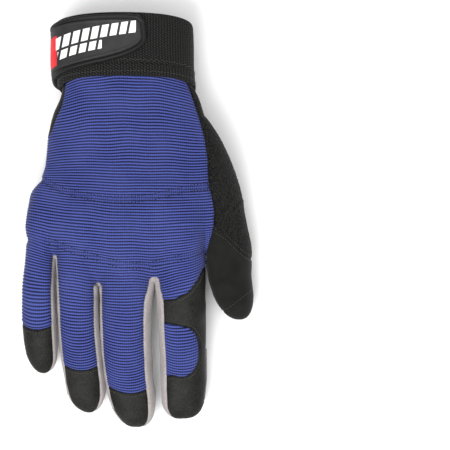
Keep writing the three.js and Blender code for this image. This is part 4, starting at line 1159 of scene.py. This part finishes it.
THUMB_CREASES = [smooth_line(line, 5) for line in (
    [(61.8, 4.8), (65.4, 10.8), (69.0, 16.2)], [(56.4, 1.8), (60.6, 6.0), (64.8, 8.4)],
    [(66.0, 7.2), (70.0, 9.6), (73.0, 14.4)])]
cap = yy - np.interp(x, *THUMB_CAP.T)
tip = yy - np.interp(x, *THUMB_TIP_SEAM.T)
fuzz = np.random.default_rng(4).normal(0, 0.1, edge.shape) * step(cap, 0, 0.6)
folds = 0.5 * lumps(x + 0.8 * yy, 0.4 * yy, 30, 8)
for crease in THUMB_CREASES:
    folds = folds + 0.45 * np.exp(-((to_line(crease, x, yy) / 0.8) ** 2))
seams = -0.7 * np.exp(-((cap / 1.1) ** 2)) - 0.8 * np.exp(-((tip / 0.9) ** 2))
outer = 0.45 + (fuzz + folds) * step(edge, 0.3, 3) + seams + roll(edge)
piece("thumb_back", [grid(flat, edge + 1, outer, -1.2 + roll(edge), edge=edge, tag=step(cap, -0.2, 0.3))],
      TERRY)

print("thumb back:", flat.shape[0], "rows of", flat.shape[1], "points")

# %% [markdown]
# The thumb's front runs between the same outer seam and the seam that joins the thumb to the palm.

# %% Thumb front
under = np.where(y > -8.3, along(THUMB_SEAM, y), SIDE_X)
under = np.maximum(under, np.where(y < -16, c - a, -999))
width = seam - under
x = under + width * (1 - ends(64, first=False))
yy = y + 0 * x
flat = np.stack([x, yy, -skin(x, yy, -1)], -1)
first, last = arcs(flat)
edge = np.minimum(np.minimum(first, last), (width - 1) * 2 + 0 * x)
outer = 0.1 + 0.5 * lumps(x, yy, 20, 9) * step(edge, 0.3, 3) + roll(edge)
piece("thumb_front", [grid(flat, np.minimum(width - 1 + 0 * x, edge + 1), outer, LEATHER_IN + roll(edge),
                           edge=edge)], HIDE)

# %% [markdown]
# ## The palm
# The palm is one piece of leather over the underside and the fingers. At the wrist it wraps up over the
# little-finger side, where it shows beside the knit. The finger ends are drawn round their own tubes
# again.

# %% Palm panel
y = np.arange(-112, PALM_LENGTH + 0.01, 1.0)[:, None]
blend = step(y, -14, -6)
left, right = left_contour(y), along(THUMB_SEAM, y) * blend + right_contour(y) * (1 - blend)
x_low = right + (left - right) * ends(112)
wrap = np.linspace(0, 1, 12)[1:] ** 2 * 7
x_top = left + wrap
y_low, y_top = y + 0 * x_low, y + 0 * x_top
flat = np.concatenate([np.stack([x_low, y_low, -skin(x_low, y_low, -1)], -1),
                       np.stack([x_top, y_top, skin(x_top, y_top, 1)], -1)], 1)
x, yy = flat[..., 0], flat[..., 1]
first, last = arcs(flat)
low_cut = np.minimum(inside(PALM_OUTLINE, x_low, y_low), -inside(OUTER_ZONE, x_low, y_low) - 0.2)
pads = np.array([f["length"] * s[5] + 2.5 for f, s in zip(FINGERS, SEWING)])
low_cut = np.minimum(low_cut, y_low + pads[nearest_finger(x_low, y_low)])
reach = np.where(y > BACK_LEFT[0, 1], along(BACK_LEFT, y) - left, 0) - 0.2
top_cut = np.where(reach < 0, -50, np.minimum(reach - wrap, 3))
side_run = first[:, [x_low.shape[1] - 1]]
cut = np.concatenate([low_cut, top_cut], 1)
edge = np.where(reach > 0.3, cut, np.minimum(cut, side_run - first))
edge = np.minimum(np.minimum(edge, first), PALM_LENGTH + 0.5 - yy)
outer = 0.1 + 0.45 * lumps(x, yy, 30, 12) * step(edge, 0.3, 4) + roll(edge)
parts = [grid(flat, cut, outer, LEATHER_IN + roll(edge), edge=edge)]
for i, f in enumerate(FINGERS):
    y = tip_rows(f["length"], FINGER_ROUND, -f["length"] * SEWING[i][5] - 2, blunt=f["blunt"])
    flat = finger_grid(f, -1, y, 1 - SEWING[i][2], 1 - SEWING[i][3], 30)
    first, last = arcs(flat)
    edge = np.minimum(first, last)
    parts.append(grid(flat, edge + 1, 0.1 + roll(edge), LEATHER_IN + roll(edge), edge=edge))
piece("palm_panel", parts, HIDE)

# %% [markdown]
# ## The wear patches
# Two suede patches are quilted on to the palm over thin foam, one round the heel and one over the
# knuckles, and each finger has a suede pad. They are modelled with a soft rounded edge and with grooves
# along the quilting.

# %% Palm patches
EDGE_MARGIN = 1.0  # what a patch keeps clear of the palm's own edge
QUILT = [[(281, 140), (262, 158), (240, 190)], [(291, 140), (298, 155), (300, 170), (298, 190)],
         [(271, 252), (263, 270)], [(285, 252), (283, 265), (292, 292)]]
QUILT = [(np.array(line) * [1, -1] + [-280, 233]) * 0.6 for line in QUILT]


def puff(d, height, rows):
    """A padded patch's height above the palm: a rounded edge, and a groove along each row of stitches."""
    shape = 0.25 + (height - 0.25) * np.sqrt(1 - (1 - np.clip(d / 1.7, 0, 1)) ** 2)
    for row in rows:
        shape = shape - 0.22 * np.exp(-(((d - row) / 0.55) ** 2))
    return shape + 0.5 * step(d, max(rows), max(rows) + 5)


PALM_ROWS = (1.9, 3.4)
for name, outline in (("crescent", CRESCENT), ("knuckle", KNUCKLE)):
    line = smooth_line(outline, 8, True)
    y = np.arange(line[:, 1].min() - 1, line[:, 1].max() + 1, 0.7)[:, None]
    left, right = left_contour(y), right_contour(y)
    x = right + (left - right) * ends(150)
    yy = y + 0 * x
    cut = np.minimum(inside(line, x, yy), inside(PALM_OUTLINE, x, yy) - EDGE_MARGIN)
    cut = np.minimum(cut, -inside(OUTER_ZONE, x, yy) - EDGE_MARGIN)
    flat = np.stack([x, yy, -skin(x, yy, -1)], -1)
    outer = puff(cut, 1.7, PALM_ROWS)
    for quilt in QUILT:
        outer = outer - 0.7 * np.exp(-((to_line(quilt, x, yy) / 1.1) ** 2)) * step(cut, 1, 3)
    sheet = grid(flat, cut, outer + 0.15, 0.12 + 0 * x, edge=cut)
    made = piece("palm_patch_" + name, [sheet], PATCH)

# %% [markdown]
# The finger pads are drawn round the fingertips' tubes, as the leather caps are, and end in a straight
# seam.

# %% Finger pads
for i, name in enumerate(["little", "ring", "middle", "index"]):
    f = FINGERS[i]
    start = -f["length"] * SEWING[i][5]
    y = tip_rows(f["length"], FINGER_ROUND, start + 1, gap=0.6, blunt=f["blunt"])
    flat = finger_grid(f, -1, y, 0.97 - SEWING[i][2], 0.97 - SEWING[i][3], 40)
    x, yy = flat[..., 0], flat[..., 1]
    first, last = arcs(flat)
    cut = start - yy
    edge = np.minimum(np.minimum(first, last), cut)
    outer = puff(edge, 1.6, (2.0, 3.4)) + 0.1
    made = piece("tip_pad_" + name, [grid(flat, cut, outer, 0.1 + 0 * x, edge=edge)], PATCH)

# %% [markdown]
# ## The cuff and its strap
# The cuff is a ribbed elastic band on a narrow hem, which is sewn over the hand's wrist end. Both are
# rings, so one grid of angles and rows makes each, closed on itself.

# %% Cuff
rows = np.linspace(PALM_LENGTH - 0.1, PALM_LENGTH + HEM_HEIGHT + 0.2, 18)[:, None]
turn = np.linspace(2 * np.pi, 0, 241)[None]
hem = cuff_ring(rows + 0 * turn, turn + 0 * rows, 0.0)
hem_edge = np.minimum(rows - rows[0], rows[-1] - rows) + 0 * turn
piece("cuff_hem", [grid(hem, hem_edge + 1, 0.1 + roll(hem_edge, 0.8, 0.2), -2.6 + 0 * hem_edge, closed=True,
                        edge=hem_edge)], ELASTIC)

rows = np.linspace(PALM_LENGTH + HEM_HEIGHT + 0.3, PALM_LENGTH + CUFF_HEIGHT, 100)[:, None]
band = cuff_ring(rows + 0 * turn, turn + 0 * rows, 0.0)
band_edge = np.minimum(rows - rows[0], rows[-1] - rows) + 0 * turn
round_x = np.cumsum(np.linalg.norm(np.diff(band[:1], axis=1, prepend=band[:1, :1]), axis=-1), 1) + 0 * rows
ribs = 0.1 * np.cos(2 * np.pi * rows / 1.2) + 0.2 * lumps(band[..., 0], band[..., 1], 30, 15)
piece("cuff_band", [grid(band, band_edge + 1, 0.1 + ribs + roll(band_edge, 0.9, 0.3), -2.0 + 0 * band_edge,
                         closed=True, edge=band_edge, uv=np.stack([round_x, rows + 0 * turn], -1))],
      ELASTIC)


# %% [markdown]
# The closing strap is moulded rubber: a pointed tab on the back, with a raised double border, that wraps
# round the little-finger side and under the wrist. The two labels lie on its end there.

# %% Strap and labels


def cuff_plan(points):
    """Points given in shares of the cuff's half width and height."""
    return np.array(points) * [CUFF_WIDTH / 2, CUFF_HEIGHT] + [0, PALM_LENGTH]


TAB = cuff_plan([(-1.3, 0.08), (-0.72, 0.125), (-0.45, 0.165), (-0.2, 0.21), (0.03, 0.275), (0.2, 0.35),
                 (0.31, 0.43), (0.37, 0.51), (0.385, 0.6), (0.36, 0.86), (0.28, 0.95), (0.12, 0.965),
                 (-1.3, 0.965)])
TAB_END = cuff_plan([(-1.3, 0.08), (0.2, 0.08), (0.26, 0.965), (-1.3, 0.965)])
SIZE_LABEL = cuff_plan([(-0.74, 0.14), (-0.56, 0.14), (-0.54, 0.9), (-0.72, 0.9)])
NAME_LABEL = cuff_plan([(-0.52, 0.14), (0.16, 0.14), (0.2, 0.9), (-0.5, 0.9)])
STRAP_LOW, STRAP_TOP = 0.5, 2.9
rows = np.arange(PALM_LENGTH + 1.5, PALM_LENGTH + CUFF_HEIGHT, 0.45)[:, None]
turn = np.radians(np.linspace(300, 48, 300))[None]
strap = cuff_ring(rows + 0 * turn, turn + 0 * rows, STRAP_LOW)
x, yy, z = strap[..., 0], strap[..., 1], strap[..., 2]
under = step(-z, -5, 5)
cut = inside(TAB, x, yy) * (1 - under) + inside(TAB_END, x, yy) * under
rim = sum(height * np.exp(-(((cut - place) / half) ** 2))
          for height, place, half in ((0.5, 1.3, 0.8), (-0.5, 2.85, 0.4), (0.25, 3.9, 0.6)))
crown = 0.9 * np.sqrt(1 - (1 - np.clip(cut / 1.1, 0, 1)) ** 2) - 0.9
top = STRAP_TOP - STRAP_LOW - 0.35 + rim + crown
piece("closure_strap", [grid(strap, cut, top, 0 * cut, edge=cut, tag=1 - under)], RUBBER)

LABEL_BASE = 3.4
for name, outline in (("size_label", SIZE_LABEL), ("name_label", NAME_LABEL)):
    rows = np.arange(outline[:, 1].min() - 0.5, outline[:, 1].max() + 0.5, 0.5)[:, None]
    turn = np.radians(np.linspace(325, 195, 150))[None]
    flat = cuff_ring(rows + 0 * turn, turn + 0 * rows, LABEL_BASE)
    cut = inside(outline, flat[..., 0], flat[..., 1])
    piece(name, [grid(flat, cut, 0.55 + 0 * cut, 0.05 + 0 * cut, edge=cut)], LABEL)

# %% [markdown]
# ## Stitches
# Every seam that shows is a row of short thread stitches. One Geometry Nodes tree makes them all: it
# turns a line into points at the stitch pitch and puts a small rounded thread on each.

# %% Stitch maker


def stitch_tree():
    """Geometry Nodes that set a small rounded thread on a line at every stitch."""
    tree = bpy.data.node_groups.new("stitch_row", "GeometryNodeTree")
    face = tree.interface
    face.new_socket("Line", in_out="INPUT", socket_type="NodeSocketGeometry")
    for name in ("Pitch", "Length", "Width"):
        face.new_socket(name, in_out="INPUT", socket_type="NodeSocketFloat")
    face.new_socket("Thread", in_out="INPUT", socket_type="NodeSocketMaterial")
    face.new_socket("Stitches", in_out="OUTPUT", socket_type="NodeSocketGeometry")
    given = tree.nodes.new("NodeGroupInput").outputs
    curve = node(tree, "GeometryNodeMeshToCurve", {"Mesh": given["Line"]})
    sockets = {"Curve": curve, "Length": given["Pitch"]}
    points = node(tree, "GeometryNodeCurveToPoints", sockets, mode="LENGTH").node
    ball = node(tree, "GeometryNodeMeshUVSphere", {"Segments": 6, "Rings": 5, "Radius": 0.5})
    size = node(tree, "ShaderNodeCombineXYZ", {"X": given["Width"], "Y": given["Width"], "Z": given["Length"]})
    placed = node(tree, "GeometryNodeInstanceOnPoints", {
        "Points": points.outputs["Points"], "Instance": ball, "Rotation": points.outputs["Rotation"],
        "Scale": size})
    real = node(tree, "GeometryNodeRealizeInstances", {"Geometry": placed})
    painted = node(tree, "GeometryNodeSetMaterial", {"Geometry": real, "Material": given["Thread"]})
    tree.links.new(painted, tree.nodes.new("NodeGroupOutput").inputs["Stitches"])
    return tree


STITCH = stitch_tree()
print("stitch tree:", len(STITCH.nodes), "nodes")

# %% [markdown]
# A row of stitches starts as a line of points. The modifier turns it into thread, and the result is kept
# as a plain mesh, so nothing is left to be worked out later. A line on the glove is lifted off its skin a
# little, and a row that would leave its panel is cut into the stretches that stay on it.

# %% Rows of stitches


def stitches(name, lines, material, pitch=1.9, length=1.3, width=0.42):
    """Rows of stitches along lines of world points in metres."""
    points, edges = [], []
    for line in lines:
        base = len(points)
        points += [tuple(p) for p in line]
        edges += [(base + k, base + k + 1) for k in range(len(line) - 1)]
    mesh = bpy.data.meshes.new(name + "_line")
    mesh.from_pydata(points, edges, [])
    made = bpy.data.objects.new(name, mesh)
    bpy.context.scene.collection.objects.link(made)
    maker = made.modifiers.new("stitch_row", "NODES")
    maker.node_group = STITCH
    values = {"Pitch": pitch * MM, "Length": length * MM, "Width": width * MM, "Thread": material}
    for item in STITCH.interface.items_tree:
        if item.in_out == "INPUT" and item.name in values:
            maker[item.identifier] = values[item.name]
    bpy.context.view_layer.update()
    done = bpy.data.meshes.new_from_object(made.evaluated_get(bpy.context.evaluated_depsgraph_get()))
    made.modifiers.clear()
    made.data = done
    done.name = name
    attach(made, "root")
    print(name, len(done.polygons), "faces")
    return made


def on_skin(points, side, lift):
    """World points that stand off the glove's skin by lift in mm."""
    x, y = points[:, 0], points[:, 1]

    def spot(dx, dy):
        return bend(np.stack([x + dx, y + dy, side * skin(x + dx, y + dy, side)], -1))

    normal = side * np.cross(spot(0.4, 0) - spot(-0.4, 0), spot(0, 0.4) - spot(0, -0.4))
    normal /= np.linalg.norm(normal, axis=-1, keepdims=True)
    return spot(0, 0) + normal * np.reshape(lift, (-1, 1)) * MM


def shrink(line, distance):
    """A closed line moved inwards."""
    ahead = np.roll(line, -1, 0) - np.roll(line, 1, 0)
    ahead /= np.linalg.norm(ahead, axis=1, keepdims=True)
    area = np.sum(line[:, 0] * np.roll(line[:, 1], -1) - line[:, 1] * np.roll(line[:, 0], -1))
    return line + np.stack([-ahead[:, 1], ahead[:, 0]], -1) * distance * np.sign(area)


def runs(points, good):
    """The stretches of a line whose points are good."""
    out, now = [], []
    for p, ok in zip(points, good):
        if ok:
            now.append(p)
        else:
            out += [np.array(now)] if len(now) > 2 else []
            now = []
    return out + [np.array(now)] if len(now) > 2 else out


# %% [markdown]
# The patches carry two rows along every edge, and one row along each quilting line. Each finger pad has
# two rows across its straight seam.

# %% Stitches on the palm
rows = []
for outline in (CRESCENT, KNUCKLE):
    line = smooth_line(outline, 10, True)
    for distance in PALM_ROWS:
        inner = shrink(line, distance)
        inner = np.concatenate([inner, inner[:1]])
        room = np.minimum(inside(line, inner[:, 0], inner[:, 1]) - distance + 0.35,
                          inside(PALM_OUTLINE, inner[:, 0], inner[:, 1]) - EDGE_MARGIN - 1)
        rows += [on_skin(run, -1, 1.78) for run in runs(inner, room > 0)]
for quilt in QUILT:
    rows.append(on_skin(smooth_line(quilt, 8), -1, 2.0))
for i, f in enumerate(FINGERS):
    c, a, _, _ = finger_section(f, -f["length"] * SEWING[i][5] * np.ones(1))
    span = np.linspace(-0.9 + SEWING[i][2], 0.9 - SEWING[i][3], 14)
    for k in (1.0, 2.4):
        line = np.stack([c + a * span, 0 * span - f["length"] * SEWING[i][5] - k], -1)
        rows.append(on_skin(line, -1, 1.6))
stitches("stitches_patches", rows, THREAD_GREY, width=0.5)

# %% [markdown]
# On the knit, both seams of the padded band are sewn with two rows. The leather of the finger ends and of
# the thumb has one row beside each seam.

# %% Stitches on the back
rows = []
for line in (PAD_TOP, PAD_LOW):
    line = smooth_line(line, 8)
    for k in (-1.7, 1.7):
        x, y = (line + [0, k]).T
        lift = 0.5 + pad_rise(x, y) + KNIT_LUMPS[0] * lumps(x, y, *KNIT_LUMPS[1:])
        rows.append(on_skin(line + [0, k], 1, lift))
stitches("stitches_knuckle_band", rows, THREAD_BLUE, pitch=2.0, length=1.15, width=0.7)

rows = []
for i, f in enumerate(FINGERS[:3]):
    low = np.full(20, -finger_ends[i] - 1.7)
    c, a, _, _ = finger_section(f, low)
    x = c + a * np.linspace(-0.9 + SEWING[i][0], 0.9 - SEWING[i][1], 20)
    row = np.stack([x, low + rib_bow(x, low)], -1)
    rows.append(on_skin(row, 1, 0.3 + 0.25 * lumps(*row.T, 16, i)))
band = smooth_line(INDEX_END[1:-1], 6) - [0, 1.7]
around = shrink(patch_line, -1.6)
for line in (band, around):
    c, a, _, _ = finger_section(INDEX, line[:, 1])
    share = (line[:, 0] - c) / a
    kept = runs(line, (share > -0.68) & (share < 0.92))
    rows += [on_skin(run, 1, 0.3 + 0.25 * lumps(*run.T, 16, 5)) for run in kept]
for line, k in ((THUMB_CAP, 1.5), (THUMB_CAP, -1.5), (THUMB_TIP_SEAM, 1.3)):
    line = smooth_line(line, 8) + [0, k]
    c, a, _, _ = thumb_section(line[:, 1])
    share = (line[:, 0] - c) / a
    rows += [on_skin(run, 1, 0.65) for run in runs(line, np.abs(share) < 0.93)]
stitches("stitches_finger_leather", rows, THREAD_CHARCOAL, pitch=1.8, length=1.2)

# %% [markdown]
# The cuff is sewn to its hem with a zigzag, and the hem to the hand with a straight row. Two more rows
# hold the leather to it across the palm.

# %% Stitches at the wrist
TURNS = 150
spread = np.linspace(0, 2 * np.pi, TURNS)
zig = PALM_LENGTH + HEM_HEIGHT + 1.6 + 1.1 * (np.arange(TURNS) % 2)
hem_line = cuff_ring(zig, spread, 0.35)
low_row = cuff_ring(PALM_LENGTH + 2.6 + 0 * spread, spread, 0.3)
stitches("stitches_hem", [bend(hem_line), bend(low_row)], THREAD_CHARCOAL, pitch=2.0, length=1.2)

across = np.linspace(-0.62, 0.66, 60) * HALF
rows = [on_skin(np.stack([across, PALM_LENGTH - k + 0 * across], -1), -1, 0.35) for k in (7.5, 9.5)]
stitches("stitches_palm_wrist", rows, THREAD_CHARCOAL, pitch=2.0, length=1.2)

# %% [markdown]
# ## Stage, light and camera
# The glove lies on a plain pale floor under wide soft lights: two strong ones, in front and overhead, and
# a weak one that fills the shadow side.

# %% Floor and light
SKY = 0.38
bpy.ops.mesh.primitive_plane_add(size=6, location=(0, 0, 0))
floor = bpy.context.object
floor.name = "floor"
paper = bpy.data.materials.new("pale_floor")
paper.use_nodes = True
paper.node_tree.nodes["Principled BSDF"].inputs["Base Color"].default_value = linear("#F6F6F6")
paper.node_tree.nodes["Principled BSDF"].inputs["Roughness"].default_value = 0.9
floor.data.materials.append(paper)
floor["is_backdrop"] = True

world = bpy.data.worlds.new("studio")
bpy.context.scene.world = world
world.use_nodes = True
world.node_tree.nodes["Background"].inputs["Color"].default_value = (1, 1, 1, 1)
world.node_tree.nodes["Background"].inputs["Strength"].default_value = SKY
for name, spot, size, power in (("key", (-0.45, -0.75, 1.4), 0.9, 22), ("top", (0.1, -0.15, 1.9), 1.5, 22),
                                ("fill", (0.9, 0.6, 1.1), 1.0, 4)):
    lamp = bpy.data.lights.new(name, "AREA")
    lamp.size, lamp.energy = size, power
    made = bpy.data.objects.new(name, lamp)
    made.location = spot
    made.rotation_euler = (-made.location).to_track_quat("-Z", "Y").to_euler()
    bpy.context.scene.collection.objects.link(made)
print("lights:", len(bpy.data.lights))

# %% [markdown]
# The camera looks straight down from one metre, as the photographer's did. One pixel of the picture is
# 0.6 mm at the height of the fingers' backs. The picture's middle lies 105 pixels to the side of the
# hand's middle line, so the glove takes the same place in the frame.

# %% Camera
PIXEL, PICTURE, ASIDE = 0.6, 450, 105
SHARP_HEIGHT, DISTANCE, SENSOR = 0.035, 1.0, 36
lens = bpy.data.cameras.new("camera")
camera = bpy.data.objects.new("camera", lens)
centre = np.array([ASIDE * PIXEL, 0.0]) + shift[:2]
camera.location = (centre[0] * MM, centre[1] * MM, SHARP_HEIGHT + DISTANCE)
camera.rotation_euler = (0, 0, 0)
lens.sensor_width = SENSOR
lens.lens = SENSOR * DISTANCE / (PICTURE * PIXEL * MM)
bpy.context.scene.collection.objects.link(camera)
bpy.context.scene.camera = camera
bpy.context.scene.view_settings.view_transform = "Standard"
print("lens:", round(lens.lens, 1), "mm")

# %% [markdown]
# ## Check and finish
# The dressed glove must stay close to the CAD box, so both boxes are written down before the frame is
# closed.

# %% Finish
low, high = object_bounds()
for side_name, growth in (("below", cad_low - low), ("above", high - cad_high)):
    print("grown", side_name, "by mm:", [round(v / MM, 1) for v in growth])
